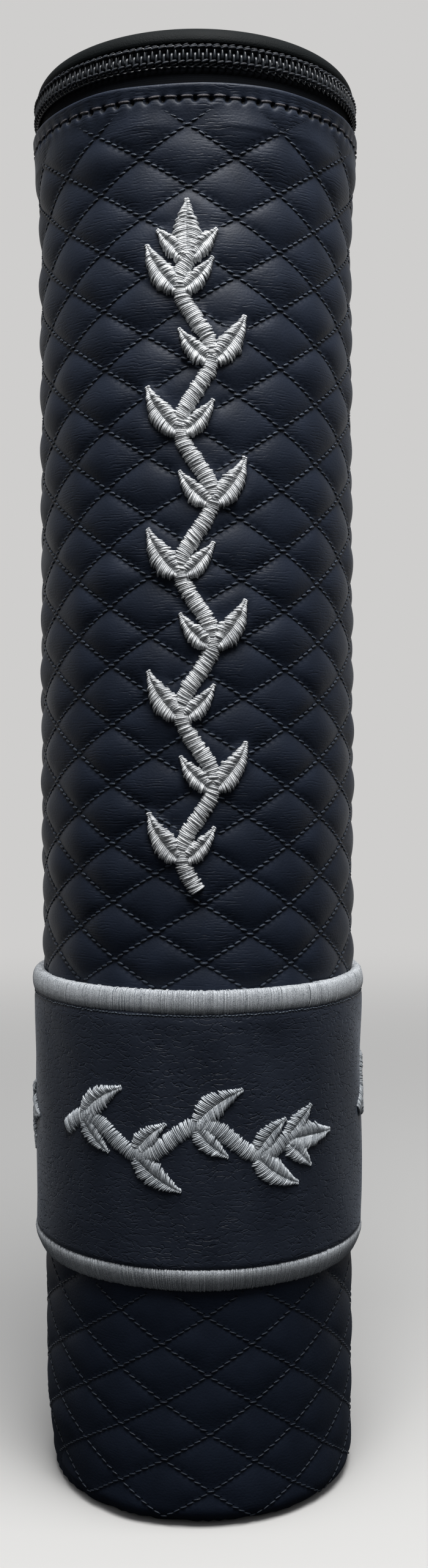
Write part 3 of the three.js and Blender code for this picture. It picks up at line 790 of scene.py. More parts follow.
wall_points = np.concatenate([low_points.reshape(-1, 3), high_points.reshape(-1, 3)])
wall_faces = low_faces.tolist() + (grid_faces(len(high_points), hem_columns) + hem_start).tolist()
wall_faces += joined(hem_start - wall_columns, hem_start, 1)
wall_faces += joined(0, len(wall_points) - hem_columns, -1)
wall_lattice = np.concatenate([
    coords(full_turn(columns)[None, :] * diamonds / (2 * math.pi),
           (runs[:, None] - first_row) / diamond_height).reshape(-1, 2)
    for runs, columns in ((wall_rows, wall_columns), (hem_runs, hem_columns))])

quilted_leather = leatherette("quilted_leatherette", navy_pale, navy_dark, holes=seam_holes,
                              slack=slack_places)
quilted_wall = piece("quilted_wall", wall_points, wall_faces, quilted_leather)
lattice_layer = quilted_wall.data.uv_layers.new(name="lattice")
corner_points = np.zeros(len(quilted_wall.data.loops), int)
quilted_wall.data.loops.foreach_get("vertex_index", corner_points)
starts = np.zeros(len(quilted_wall.data.polygons), int)
quilted_wall.data.polygons.foreach_get("loop_start", starts)
corner_uv = wall_lattice[corner_points]
across = corner_uv[:, 0]
wraps = np.maximum.reduceat(across, starts) - np.minimum.reduceat(across, starts) > diamonds / 2
wraps = np.repeat(wraps, np.diff(np.append(starts, len(across))))
corner_uv[:, 0] += diamonds * (wraps & (across < diamonds / 2))
lattice_layer.data.foreach_set("uv", corner_uv.ravel())
fit(quilted_wall, "case", "quilted_sleeve")


# Quilting stitches
# Each stitch of navy polyester shows as a grain 1.5 mm long that lies flatter than its seam.
# The grains sit in the seams with a needle hole at each end, and are pulled tighter at the foot, where
# they are also painted darker as shade.
stitch_length = 1.5 * mm
stitch_width = 0.56 * mm
stitch_lift = 0.19 * mm
stitch_fade_start, stitch_fade_end = 290 * mm, 297 * mm
stitch_tilt = math.radians(19)
tilt_spread = math.radians(4)
# foot_size shrinks the stitches at the foot; the other number scales their painted shade there.
foot_size, foot_painted_shade = 0.6, 0.4
top_size_drop = 0.6
lowest_stitch, highest_stitch = 1.5 * mm, 296.5 * mm
band_from, band_to = 49 * mm, 114 * mm
fibre_mark = 0.12 * mm
grain_shares = np.array([(-1, 0.25), (-0.62, 0.82), (0, 1), (0.62, 0.82), (1, 0.25)])


def circle(sides):
    angle = full_turn(sides)
    return coords(np.cos(angle), np.sin(angle))


def strands(paths, outward, section):
    """Points and faces of closed tubes. paths is (tube, point, xyz), and section holds the
    (sideways, outward) offsets of each ring, for all tubes alike or tube by tube."""
    ahead = np.gradient(paths, axis=1)
    ahead /= np.linalg.norm(ahead, axis=-1, keepdims=True)
    sideways = np.cross(ahead, outward)
    sideways /= np.linalg.norm(sideways, axis=-1, keepdims=True)
    up = np.cross(sideways, ahead)
    section = np.broadcast_to(section, paths.shape[:2] + section.shape[-2:])
    points = paths[:, :, None] + sideways[:, :, None] * section[..., :1]
    points = points + up[:, :, None] * section[..., 1:]
    count, length, sides = points.shape[:3]
    one = grid_faces(length, sides)[:, ::-1]
    starts = np.arange(count) * length * sides
    walls = (one[None] + starts[:, None, None]).reshape(-1, 4).tolist()
    ring = np.arange(sides)
    caps = (ring[None] + starts[:, None]).tolist()
    caps += (ring[::-1][None] + starts[:, None] + (length - 1) * sides).tolist()
    return points, walls + caps


def outward_at(points):
    """Level directions away from the case's axis."""
    flat = points * (1, 1, 0)
    return flat / np.linalg.norm(flat, axis=-1, keepdims=True)


def satin_finish(name, pale, dark, roughness=0.38, gloss=0.5, grain=0.5 * mm, shade_share=0.0):
    """Twisted filament thread with the fine ridges of its plies. The filaments are drawn coarser than
    they are, so that they show. shade_share is how much of its tone goes thread by thread, and the
    rest goes in grains."""
    material, tree, place = new_material(name)
    tone = add(tree, "ShaderNodeTexNoise", {"Vector": place, "Scale": 1 / grain, "Detail": 3})
    spread = add(tree, "ShaderNodeMapRange", {"Value": tone, "From Min": 0.36, "From Max": 0.6})
    if shade_share:
        shade = add(tree, "ShaderNodeAttribute", out="Fac", attribute_name="shade")
        spread = add(tree, "ShaderNodeMix", {0: shade_share, 2: spread, 3: shade})
    fibre = add(tree, "ShaderNodeTexNoise", {"Vector": place, "Scale": 1 / fibre_mark, "Detail": 2})
    coat(material, spread, dark, pale, fibre, 0.07 * mm, {
        "Roughness": roughness, "Specular IOR Level": gloss}, strength=0.9)
    return material


def sewn(name, paths, outward, width, height, thread, seed, low=0):
    """A piece of many threads along paths, each with one shade of its own."""
    points, faces = strands(paths, outward, circle(6) * (width / 2, height / 2))
    shades = np.random.default_rng(seed).uniform(low, 1, len(points))
    return piece(name, points, faces, thread, np.repeat(shades, points[0].size // 3))


def grains(places, tilts, length, width, height, section_sides=6, sizes=1):
    """Stitch grains on the case at (azimuth, height, radius) places, each tilted from the level."""
    along = grain_shares[:, 0] * length / 2
    azimuth = places[:, :1] + along * np.cos(tilts)[:, None] / places[:, 2:]
    rise = places[:, 1:2] + along * np.sin(tilts)[:, None]
    paths = around(places[:, 2:], azimuth, rise)
    ring = circle(section_sides) * (width / 2, height / 2)
    swell_shares = grain_shares[:, 1] * np.broadcast_to(sizes, len(places))[:, None]
    return strands(paths, outward_at(paths), swell_shares[..., None, None] * ring)


def seam_stitches(family):
    """(azimuth, run, tilt) of stitches: family 0 falls to the right, 1 rises, and 2 is the crossings.
    Those that the band hides are left out."""
    reach = 2 * diamonds + 60
    whole = np.arange(-reach, reach)
    parts = np.arange(-reach * stitches_per_side, reach * stitches_per_side)
    parts = parts[parts % stitches_per_side != 0] / stitches_per_side
    first, second = ((whole, parts), (parts, whole), (whole, whole))[family]
    rising, falling = (grid.ravel() for grid in np.meshgrid(first, second))
    azimuth = (rising + falling) / 2 * (2 * math.pi / diamonds)
    run = (rising - falling) / 2 * diamond_height + first_row
    shown = (azimuth >= -1e-9) & (azimuth < 2 * math.pi - 1e-9)
    shown &= (run > lowest_stitch) & (run < highest_stitch) & ((run < band_from) | (run > band_to))
    return coords(azimuth, run, (-stitch_tilt, stitch_tilt, 0)[family])[shown]


seam_thread = satin_finish("seam_thread", "#343d4a", "#161c25", roughness=0.45, gloss=0.35,
                           shade_share=0.8)
for name, families in (("falling_seam_stitches", (0, 2)), ("rising_seam_stitches", (1,))):
    azimuth, run, tilts = np.vstack([seam_stitches(family) for family in families]).T
    place_azimuth, place_run = wandered(azimuth, run)
    bare = pressed(place_azimuth, place_run) < 0.85
    azimuth, run, tilts, place_azimuth = (part[bare] for part in (azimuth, run, tilts, place_azimuth))
    seat = skin(run, azimuth)
    size = 1 - top_size_drop * smooth_step(run, stitch_fade_start, stitch_fade_end)
    radius = np.linalg.norm(seat[:, :2], axis=1) + stitch_lift * (2 * size - 1)
    slack = smooth_step(run, *foot_zone)
    draw = np.random.default_rng(11 + len(families))
    tilts = tilts + draw.normal(0, tilt_spread, len(tilts))
    points, faces = grains(coords(place_azimuth, seat[:, 2], radius), tilts, stitch_length, stitch_width,
                           stitch_width, sizes=size * (foot_size + (1 - foot_size) * slack))
    # Each stitch's tone varies at random, and towards the foot it is painted darker as shade.
    shades = (foot_painted_shade + (1 - foot_painted_shade) * slack) * draw.uniform(0.4, 1.1, len(slack))
    shades = np.repeat(shades, points[0].size // 3)
    fit(piece(name, points, faces, seam_thread, shades), "case")


# Hem stitching
# A dull grey-brown polyester thread holds the folded hem, in stitches 2.6 mm long.
# It dives into a needle hole between each two, and the leatherette puckers round it.
hem_stitch_length = 2.6 * mm
hem_thread_width = 0.62 * mm
hem_thread_height = 0.5 * mm

hem_thread = satin_finish("hem_thread", "#4b484b", "#222227", roughness=0.6, gloss=0.25)
hem_azimuths = full_turn(hem_stitches) + math.pi / hem_stitches
hem_draw = np.random.default_rng(21)
hem_heights = hem_stitch_height + hem_draw.normal(0.15 * mm, 0.09 * mm, hem_stitches)
hem_tilts = hem_draw.normal(math.radians(3), math.radians(5), hem_stitches)
hem_grains = grains(coords(hem_azimuths, hem_heights, hem_radius), hem_tilts, hem_stitch_length,
                    hem_thread_width, hem_thread_height, section_sides=8)
fit(piece("hem_stitches", *hem_grains, hem_thread), "case")


# Front embroidery
# Rayon satin stitch over padding stitches: each thread dives into the leatherette at both edges.
# On a leaf the threads run from the midrib back to the edge. The thread is glossy silver-grey, and
# each one lies a little lighter or darker than its neighbours.
embroidery_rise = 0.95 * mm
embroidery_sink = 0.5 * mm
satin_points = 7
satin_width = 0.41 * mm
satin_height = 0.42 * mm
full_rise_half = 1.4 * mm
thread_ragged = 0.085
thread_lean = 0.09 * mm
leaf_sweep, stem_sweep = -0.38, 0.12
rise_spread = 0.11
midrib_lobe = 0.45


def satin_threads(strokes, seed):
    """Threads as (thread, point, (along, across, rise)) over the strokes."""
    draw = np.random.default_rng(seed)
    threads = []
    for centres, left, halves, is_leaf in strokes:
        ahead = coords(left[:, 1], -left[:, 0])
        share = np.linspace(-1, 1, satin_points)
        sides = ((0.02, 1), (-0.02, -1)) if is_leaf else ((-1, 1),)
        for start, end in sides:
            ragged = draw.normal(0, thread_ragged, (2, len(centres), 1))
            x = start + (end - start) * (share[None] + 1) / 2
            edge = halves[:, None] * (1 + np.where(x > 0, *ragged))
            lean = draw.normal(0, thread_lean, (len(centres), 1))
            sweep = (leaf_sweep * np.abs(x) if is_leaf else stem_sweep * x) * edge
            flat = centres[:, None] + left[:, None] * (x * edge)[..., None]
            flat = flat + ahead[:, None] * (sweep + lean * x)[..., None]
            lobe = 1 - np.abs(share) ** 2.4
            top = embroidery_rise * (1 + draw.normal(0, rise_spread, (len(centres), 1)))
            if is_leaf:
                lobe = np.maximum(lobe, midrib_lobe * (1 - share) / 2)
            rise = top * lobe * np.minimum(1, halves[:, None] / full_rise_half)
            rise = rise - embroidery_sink * (lobe < 0.05)
            threads.append(np.concatenate([flat, rise[..., None]], axis=-1))
    return np.concatenate(threads)


def on_front(place):
    """Puts (along, across, rise) on the front of the case."""
    height = vine_bottom + place[..., 0]
    return around(crest_at(height) - pressed_depth + place[..., 2], -place[..., 1] / crest_radius, height)


silver_thread = satin_finish("silver_rayon_thread", "#e7e9ea", "#94979b", roughness=0.32,
                             shade_share=0.7)
front_paths = on_front(satin_threads(front_strokes, 31))
front_vine = sewn("front_vine", front_paths, outward_at(front_paths), satin_width, satin_height,
                  silver_thread, 33)
fit(front_vine, "case", "front_embroidery")


# Smooth band
# A strip of grey-navy leatherette with a fine crease grain, glued round the quilting.
# It is a little uneven, because the pillows beneath press through.
band_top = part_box("band_top_edging")[1].z
band_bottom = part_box("band_bottom_edging")[0].z
band_gap = 0.3 * mm
band_thick = 1.6 * mm
edging_height = 4.9 * mm
band_columns = 288
band_rows = 64
band_line_drop = 5.3 * mm
band_uneven = 0.13 * mm
edge_tuck = 0.9 * mm
groove_depth, groove_half = 0.22 * mm, 0.5 * mm


def band_outer(height):
    return crest_at(height) + band_gap + band_thick


def band_surface(height, azimuth):
    """Radius of the band, with the wander of the padding beneath."""
    inside = smooth_step(height, band_bottom + 4 * mm, band_bottom + 12 * mm)
    inside = inside * (1 - smooth_step(height, band_top - 12 * mm, band_top - 4 * mm))
    return band_outer(height) + band_uneven * inside * drift(azimuth, height, 41, shortest=30 * mm)


band_heights = np.linspace(band_bottom + 2.4 * mm, band_top - 0.7 * mm, band_rows)
band_middle, band_half = (band_top + band_bottom) / 2, (band_top - band_bottom) / 2 - edging_height
heights, inner_heights = band_heights[:, None], band_heights[::-8, None]
tucked = smooth_step(np.abs(heights - band_middle), band_half - 0.2 * mm, band_half + 0.9 * mm)
groove = groove_depth * np.exp(-((heights - (band_top - band_line_drop)) / groove_half) ** 2)
band_radius = band_surface(heights, full_turn(band_columns)) - edge_tuck * tucked - groove
band_points = np.concatenate([
    around(band_radius, full_turn(band_columns), heights),
    around(crest_at(inner_heights) + band_gap, full_turn(band_columns), inner_heights)])
band_leather = leatherette("band_leatherette", "#292f3b", "#1b202b", pebble=(0.5 * mm, 0.035),
                           creases=(1.05 * mm, 2.8 * mm, 0.1, 0.13), sheen=0.3, slack=lambda tree: 1.0,
                           netted=True)
band_faces = grid_faces(len(band_points), band_columns, rows_close=True)
band = piece("band_leather", band_points, band_faces, band_leather)
fit(band, "case", "smooth_band")


# Band stitch line
# Fine blue-grey running stitches under the upper edging hold the band to the case.
# Each one lies in a shallow groove and sinks by half into the leatherette.
line_stitches = 290
line_stitch_length = 0.75 * mm
line_thread_width = 0.28 * mm
line_thread_height = 0.26 * mm
line_sink = 0.13 * mm

line_thread = satin_finish("blue_line_thread", "#5c6672", "#333c46")
line_draw = np.random.default_rng(51)
line_azimuths = full_turn(line_stitches)
line_height = band_top - band_line_drop
line_radius = band_surface(line_height, line_azimuths) - line_sink
line_heights = line_height + line_draw.normal(0, 0.06 * mm, line_stitches)
line_tilts = line_draw.normal(0, math.radians(9), line_stitches)
line_grains = grains(coords(line_azimuths, line_heights, line_radius), line_tilts, line_stitch_length,
                     line_thread_width, line_thread_height)
fit(piece("band_stitches", *line_grains, line_thread), "case")


# Satin edgings
# Both edges of the band are bound in upright satin stitch over a cord-like padding of dull thread.
# Each glossy blue-grey thread comes up out of the band, rounds the edge and dives behind it.
edging_threads = 860
edging_core_drop = 0.13 * mm
top_shares = np.array([
    (1.02, -0.35), (0.98, 0.2), (0.86, 0.72), (0.66, 0.97), (0.45, 1.0), (0.27, 0.87), (0.12, 0.62),
    (0.03, 0.28), (0.0, -0.2), (0.04, -1.2), (0.12, -1.7)])
bottom_shares = np.array([
    (1.02, -0.35), (1.0, 0.25), (0.92, 0.75), (0.8, 0.9), (0.6, 0.75), (0.4, 0.4), (0.2, -0.05),
    (0.06, -0.45), (0.0, -0.8), (0.04, -1.3), (0.12, -1.6)])
edging_rise = 1.0 * mm
edging_width = 0.28 * mm
edging_thick = 0.34 * mm
edging_seat = -0.9 * mm
edging_shift = 0.2 * mm
edging_ragged = 0.016
edging_slant, slant_stray, azimuth_stray = 0.004, 0.0005, 0.0004
thread_wander, cord_wander = 0.05 * mm, 0.06 * mm

blue_thread = satin_finish("blue_rayon_thread", "#d2d6da", "#484f58", roughness=0.32,
                           grain=0.17 * mm, shade_share=0.35)
core_thread = satin_finish("edging_padding_thread", "#5d6670", "#3e464f", roughness=0.7)
each = (edging_threads, 1)
for place, edge, side, shares in (("top", band_top, 1, top_shares),
                                  ("bottom", band_bottom, -1, bottom_shares)):
    draw = np.random.default_rng(61 + side)
    thread_azimuths = full_turn(edging_threads)[:, None] + draw.normal(0, azimuth_stray, each)
    drop = shares[:, 0]
    seat = band_outer(edge) + edging_seat + edging_rise * shares[:, 1]
    ragged = draw.normal(0, edging_ragged, each) * ((drop > 0.9) + 0.8 * (drop < 0.15))
    heights = edge - side * (edging_height * (drop + ragged) + edging_shift)
    wander = thread_wander * draw.normal(0, 1, each) + cord_wander * drift(thread_azimuths, 0, 63)
    slant = edging_slant * np.linspace(-1, 1, len(drop)) + draw.normal(0, slant_stray, each)
    paths = around(seat + wander, thread_azimuths + slant, heights)[:, ::side]
    away = outward_at(paths) + np.array([0, 0, side]) * (0.9 - drop[::side])[:, None]
    binding = sewn(f"band_{place}_satin", paths, away, edging_width, edging_thick, blue_thread, 65,
                   low=0.45)
    fit(binding, "case", f"band_{place}_edging")
    core_outline = coords(seat - edging_core_drop, edge - side * (edging_height * drop + 0.25 * mm))
    core = turned(f"band_{place}_satin_padding", core_outline[::-side], core_thread)
    fit(core, "case")


# Band embroidery
# Three like sprigs of a cooler silver thread, a third of a turn apart.
# They are sewn in satin stitch through the band, and stand half as high as the vine on the front.
sprig_height = 82 * mm
sprig_length = 52 * mm
sprig_bends = 4
sprig_spacing = 0.35 * mm
sprig_width = 0.33 * mm
sprig_share = 0.5
sprigs = 3

cool_thread = satin_finish("cool_silver_thread", "#e0e5e9", "#7c838a", roughness=0.33,
                           grain=0.25 * mm, shade_share=0.6)
sprig_threads = satin_threads(vine(sprig_length, sprig_bends, sprig_spacing), 71)
for count in range(sprigs):
    start = -(sprig_length + leaf_length) / 2 / band_outer(sprig_height)
    azimuth = start + sprig_threads[..., 0] / band_outer(sprig_height) + count * 2 * math.pi / sprigs
    height = sprig_height + sprig_threads[..., 1]
    rise = sprig_share * sprig_threads[..., 2]
    paths = around(band_surface(height, azimuth) + rise, azimuth, height)
    sprig = sewn(f"band_sprig_{count + 1}", paths, outward_at(paths), sprig_width, satin_height,
                 cool_thread, 73)
    fit(sprig, "case", f"band_embroidery_{count + 1}")


# Zip tapes
# Black-navy woven polyester tape, one sewn inside the hem and one inside the lid's edge.
# Cords of warp run along it, so it shows fine level ribs. It is black-navy, and its colour is set darker
# still as painted shade, where it lies recessed under the hem and the lid's edge.
warp_pitch = 0.45 * mm
weft_pitch = 0.5 * mm
tape_bend = 0.15 * mm
hinge_half = math.radians(49)
tape_gap = 0.3 * mm

tape_cloth, tree, place = new_material("woven_zip_tape")
warp = add(tree, "ShaderNodeTexWave", {
    "Vector": place, "Scale": 2 * math.pi / 20 / warp_pitch, "Distortion": 0.4, "Detail": 1,
    "Detail Scale": 400}, out="Fac", wave_type="BANDS", bands_direction="Z")
weft = add(tree, "ShaderNodeTexNoise", {"Vector": place, "Scale": 1 / weft_pitch, "Detail": 2})
weave = add(tree, "ShaderNodeMath", [warp, weft], operation="MULTIPLY")
# Painted shade: both tones are darker than the tape's own black-navy.
coat(tape_cloth, weave, "#04060a", "#0b0e14", weave, 0.025 * mm, {
    "Roughness": 0.9, "Specular IOR Level": 0.1})


def swept(name, outlines, azimuths, material):
    """A piece with a closed cross-section swept round the case, and flat ends.
    outlines is (azimuth, point, (radius, height)), or one outline for all azimuths."""
    outlines = np.broadcast_to(outlines, (len(azimuths), *np.shape(outlines)[-2:]))
    points = around(outlines[..., 0].T, azimuths[None, :], outlines[..., 1].T)
    rows, columns = points.shape[:2]
    faces = grid_faces(rows, columns, rows_close=True, columns_close=False).tolist()
    first = np.arange(rows) * columns
    faces += [first.tolist(), (first + columns - 1)[::-1].tolist()]
    return piece(name, points, faces, material)


tape_inner, tape_outer = 35.0 * mm, 35.5 * mm
tape_reach = math.pi - hinge_half - tape_gap / tape_inner
tape_azimuths = np.linspace(-tape_reach, tape_reach, 220)
for which, body in (("lower", "case"), ("upper", "lid")):
    low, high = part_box(f"zip_{which}_tape")
    tape_line = section(tape_inner, tape_outer, low.z, high.z, tape_bend)
    tape = swept(f"{which}_tape", tape_line, tape_azimuths, tape_cloth)
    fit(tape, body, f"zip_{which}_tape")


# Zip coils
# Each is one nylon filament 0.56 mm thick, wound flat in a helix of 1.62 mm pitch.
# Its heads pass the middle and lock between the other coil's; it is dark and glossy.
tooth_pitch = 1.62 * mm
chain_radius = 36.35 * mm
filament = 0.56 * mm
coil_turns = 99
zip_middle = (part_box("zip_lower_tape")[1].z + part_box("zip_upper_tape")[0].z) / 2
coil_turn = np.array([
    (0, 2.0, 36.08), (0, 0.9, 36.08), (0, -0.2, 36.12), (0, -0.56, 36.42), (0, -0.2, 36.74),
    (0, 0.7, 36.78), (0.04, 1.6, 36.6), (0.45, 2.25, 36.36),
]) * mm
head_share, leg_share = 1.3, 1.0
draw_mark = 0.7 * mm

nylon, tree, place = new_material("nylon_filament")
draw_lines = add(tree, "ShaderNodeTexNoise", {"Vector": place, "Scale": 1 / draw_mark, "Detail": 3})
gloss = add(tree, "ShaderNodeMapRange", {"Value": draw_lines, "To Min": 0.22, "To Max": 0.42})
coat(nylon, draw_lines, "#0e1115", "#21262c", draw_lines, 0.03 * mm, {
    "Roughness": gloss, "IOR": 1.53}, strength=0.4)

coil_start = -(coil_turns - 1) / 2 * tooth_pitch / chain_radius
coil_sides = (("lower", "case", -1), ("upper", "lid", 1))
for which, body, side in coil_sides:
    shifts = (np.arange(coil_turns - (side > 0)) + 0.5 * (side > 0)) * tooth_pitch
    along, rise, radius = smoothed((coil_turn + shifts[:, None, None] * (1, 0, 0)).reshape(-1, 3), 2).T
    coil_path = around(radius, coil_start + along / chain_radius, zip_middle + side * rise)
    heads = 1 - smooth_step(rise, -0.4 * mm, 0.4 * mm)
    widths = filament / 2 * (leg_share + (head_share - leg_share) * heads)
    rings = circle(7)[None] * coords(widths, filament / 2)[:, None]
    ahead = np.gradient(coil_path, axis=0)
    tangent = coords(coil_path[:, 1], -coil_path[:, 0], 0)
    points, faces = strands(coil_path[None], np.cross(ahead, -tangent)[None], rings[None])
    fit(piece(f"{which}_coil", points, faces, nylon), body, f"zip_{which}_coil")


# Coil stitching
# Chain stitches of dull, nearly black polyester run along each coil and lash it to its tape.
# They show as a row of knuckles, one to each turn of the filament, beside a row of thin loops.
knuckle_rises = {"lower": 1.3 * mm, "upper": 1.8 * mm}
loop_offset = 0.5 * mm
lashing_radius = 36.95 * mm
lashing_draw = np.random.default_rng(91)
lashing_thread = satin_finish("zip_lashing_thread", "#20252d", "#0b0d11", roughness=0.62, gloss=0.25)

for which, body, side in coil_sides:
    turns = np.arange(coil_turns - 1)
    azimuths = coil_start + (turns + 0.25 + 0.5 * (side > 0)) * tooth_pitch / chain_radius
    for name, length, width, offset, radius in (
            ("knuckles", 1.55 * mm, 0.66 * mm, 0, lashing_radius),
            ("loops", 1.4 * mm, 0.4 * mm, loop_offset, lashing_radius - 0.25 * mm)):
        rises = lashing_draw.normal(0, 0.05 * mm, len(turns))
        rises += zip_middle + side * (knuckle_rises[which] + offset)
        tilts = lashing_draw.normal(math.radians(14), math.radians(6), len(turns))
        lashing = grains(coords(azimuths, rises, radius), tilts, length, width, width, section_sides=8)
        fit(piece(f"{which}_{name}", *lashing, lashing_thread), body)


# Stops
# Small zinc crimps, pressed round the ends of the chain so that the slider can't run off.
# The metal is plated and tumbled: soft grey highlights with scratches, drawn coarser than they are.
soft_edge = 0.3 * mm
tumble_mark = 1.5 * mm
scratch_length = 1.2 * mm

plated_zinc, tree, place = new_material("plated_zinc")
tumbled = add(tree, "ShaderNodeTexNoise", {"Vector": place, "Scale": 1 / tumble_mark, "Detail": 5})
scratches = add(tree, "ShaderNodeTexNoise", {
    "Vector": stretched(tree, place, scratch_length, scratch_length / 9), "Scale": 1, "Detail": 4})
gloss = add(tree, "ShaderNodeMapRange", {"Value": scratches, "To Min": 0.2, "To Max": 0.42})
coat(plated_zinc, tumbled, "#8f9092", "#b9babb", scratches, 0.03 * mm, {
    "Roughness": gloss, "Metallic": 1}, strength=0.35)


def cast(name, outline, start, end):
    """A short metal piece swept from one azimuth to another, with soft edges at both ends."""
    turns = np.linspace(0, math.pi / 2, 4)
    shrink = np.append(soft_edge * (1 - np.sin(turns)), 0)
    inward = np.append(soft_edge * (1 - np.cos(turns)), soft_edge) / chain_radius
    middle, half = (outline.max(axis=0) + outline.min(axis=0)) / 2, np.ptp(outline, axis=0) / 2
    shrink = np.append(shrink, shrink[::-1])[:, None, None]
    azimuths = np.append(start + inward, (end - inward)[::-1])
    return swept(name, middle + (outline - middle) * (1 - shrink / half), azimuths, plated_zinc)


stop_end = math.pi - hinge_half - tape_gap / tape_inner - tape_gap / tape_outer
stop_width = 1.2 * mm
for name, body, side in (("zip_top_stop_case", "case", 1), ("zip_top_stop_lid", "lid", 1),
                         ("zip_bottom_stop", "case", -1)):
    low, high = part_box(name)
    stop_line = section(35.8 * mm, 36.9 * mm, low.z, high.z, soft_edge)
    start, end = sorted((side * stop_end, side * (stop_end - stop_width / tape_outer)))
    fit(cast(name + "_crimp", stop_line, start, end), body, name)


# Hinge strip
# Where the zip ends, a strip of the same leatherette joins lid and case as the hinge; it is drawn as it
# lies with the lid shut.
# Its edges are sewn in under the hem and inside the lid; it bulges in two soft folds.
strip_rows = 28
strip_columns = 72
strip_thick = 0.5 * mm
strip_bulge = 0.3 * mm
fold_spacing = 4.2 * mm
fold_share = 0.35
strip_low, strip_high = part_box("hinge_strip")
strip_open = (302 * mm, 310.7 * mm)

strip_heights = np.linspace(strip_low.z, strip_high.z, strip_rows)
free = smooth_step(strip_heights, strip_open[0], strip_open[0] + 2 * mm)
free *= 1 - smooth_step(strip_heights, strip_open[1] - 2 * mm, strip_open[1])
waves = np.cos((strip_heights - zip_middle) * 2 * math.pi / fold_spacing)
folds = strip_bulge * free * (1 - fold_share + fold_share * waves)
strip_line = np.concatenate([
    coords(tape_outer + folds, strip_heights),
    coords(tape_outer + folds - strip_thick, strip_heights)[::-1],
])
strip_azimuths = np.linspace(math.pi - hinge_half, math.pi + hinge_half, strip_columns)
strip = swept("hinge_leatherette", strip_line, strip_azimuths, plain_leather)
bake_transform(strip)
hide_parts("hinge_strip")


# Lid
# A board disc with wadding on it, covered in leatherette that is drawn down over the upper tape.
# The leatherette is matt and nearly black, with a finer pebble than the case's and hardly any sheen.
# A disc of the lining cloth closes its underside.
skirt_outer = 36.4 * mm
lid_sheet = 0.6 * mm
lid_bottom, lid_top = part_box("lid_cover")[0].z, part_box("lid_cover")[1].z
lid_shares = np.array([
    (1, 0.03), (1.003, 0.155), (0.992, 0.362), (0.962, 0.586), (0.907, 0.76), (0.797, 0.88),
    (0.55, 0.966), (0.28, 0.993), (0, 1)])
padding_gap = 0.3 * mm

dome = smoothed(lid_shares * (skirt_outer, lid_top - lid_bottom) + (0, lid_bottom), 5)
slope = np.gradient(dome, axis=0)
slope /= np.linalg.norm(slope, axis=1, keepdims=True)
inward = coords(-slope[:, 1], slope[:, 0])
dome_inside = dome + lid_sheet * inward
dome_inside[-1, 0] = 0
rolled = [(skirt_outer - lid_sheet, lid_bottom + 0.05 * mm),
          (skirt_outer - lid_sheet / 2, lid_bottom - 0.02 * mm)]
lid_line = np.vstack([dome_inside[::-1], rolled, dome])
matt_leather = leatherette("matt_leatherette", "#0a0e0f", "#050708", pebble=(0.3 * mm, 0.05),
                           roughness=(0.6, 0.75), gloss=0.06, sheen=0)
lid_cover = turned("lid_leatherette", lid_line, matt_leather, sides=240, closed=False)
fit(lid_cover, "lid", "lid_cover")

padding_low, padding_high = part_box("lid_padding")
crown = dome + (lid_sheet + padding_gap) * inward
crown = crown[(crown[:, 1] > padding_low.z + 0.2 * mm) & (crown[:, 0] > 0.5 * mm)]
padding_line = np.vstack([
    [(0, padding_low.z), (crown[0, 0] * 0.5, padding_low.z), (crown[0, 0] - 0.2 * mm, padding_low.z)],
    crown, [(0, padding_high.z)]])
lid_padding = turned("lid_wadding", padding_line, wadding, closed=False)
fit(lid_padding, "lid", "lid_padding")

disc("lid_lining_cloth", "lid_lining", lining_cloth, 0.28 * mm, "lid", "lining")


# Slider
# A plated zinc casting: an outer wing with turned-in flanges, a bridge for the pull, an inner wing.
# It is parked behind, at the closed end of the chain, and its pull lies back along the zip.
slider_azimuth = math.radians(120)
slider_length = 9 * mm
wing_inner, wing_outer = 37.35 * mm, 38.35 * mm
wing_low, wing_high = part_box("slider_outer_wing")
wing_half = (wing_high.z - wing_low.z) / 2
wing_stations = 25
wing_line = np.array([
    (-0.3, -1), (0.3, -1), (0.72, -0.93), (0.93, -0.78), (1, -0.5), (1.03, 0), (1, 0.5), (0.93, 0.78),
    (0.72, 0.93), (0.3, 1), (-0.3, 1), (-0.3, 0.91), (0, 0.88), (0, 0.5), (0, 0), (0, -0.5), (0, -0.88),
    (-0.3, -0.91),
])
rear_share, nose_share = 0.78, 1.0

run = np.linspace(-1, 1, wing_stations)
width = rear_share + (nose_share - rear_share) * smooth_step(run, -0.7, 0.5)
width = width * (1 - 0.22 * np.clip((np.abs(run) - 0.8) / 0.2, 0, 1) ** 2)
sections = np.stack([
    coords(wing_inner + (wing_outer - wing_inner) * wing_line[:, 0],
           zip_middle + wing_half * w * wing_line[:, 1]) for w in width])
wing_azimuths = slider_azimuth + run * slider_length / 2 / wing_outer
outer_wing = swept("slider_wing", sections, wing_azimuths, plated_zinc)
outer_bevel = outer_wing.modifiers.new("cast_edges", "BEVEL")
outer_bevel.width = 0.12 * mm
outer_bevel.segments = 3
outer_bevel.angle_limit = math.radians(50)

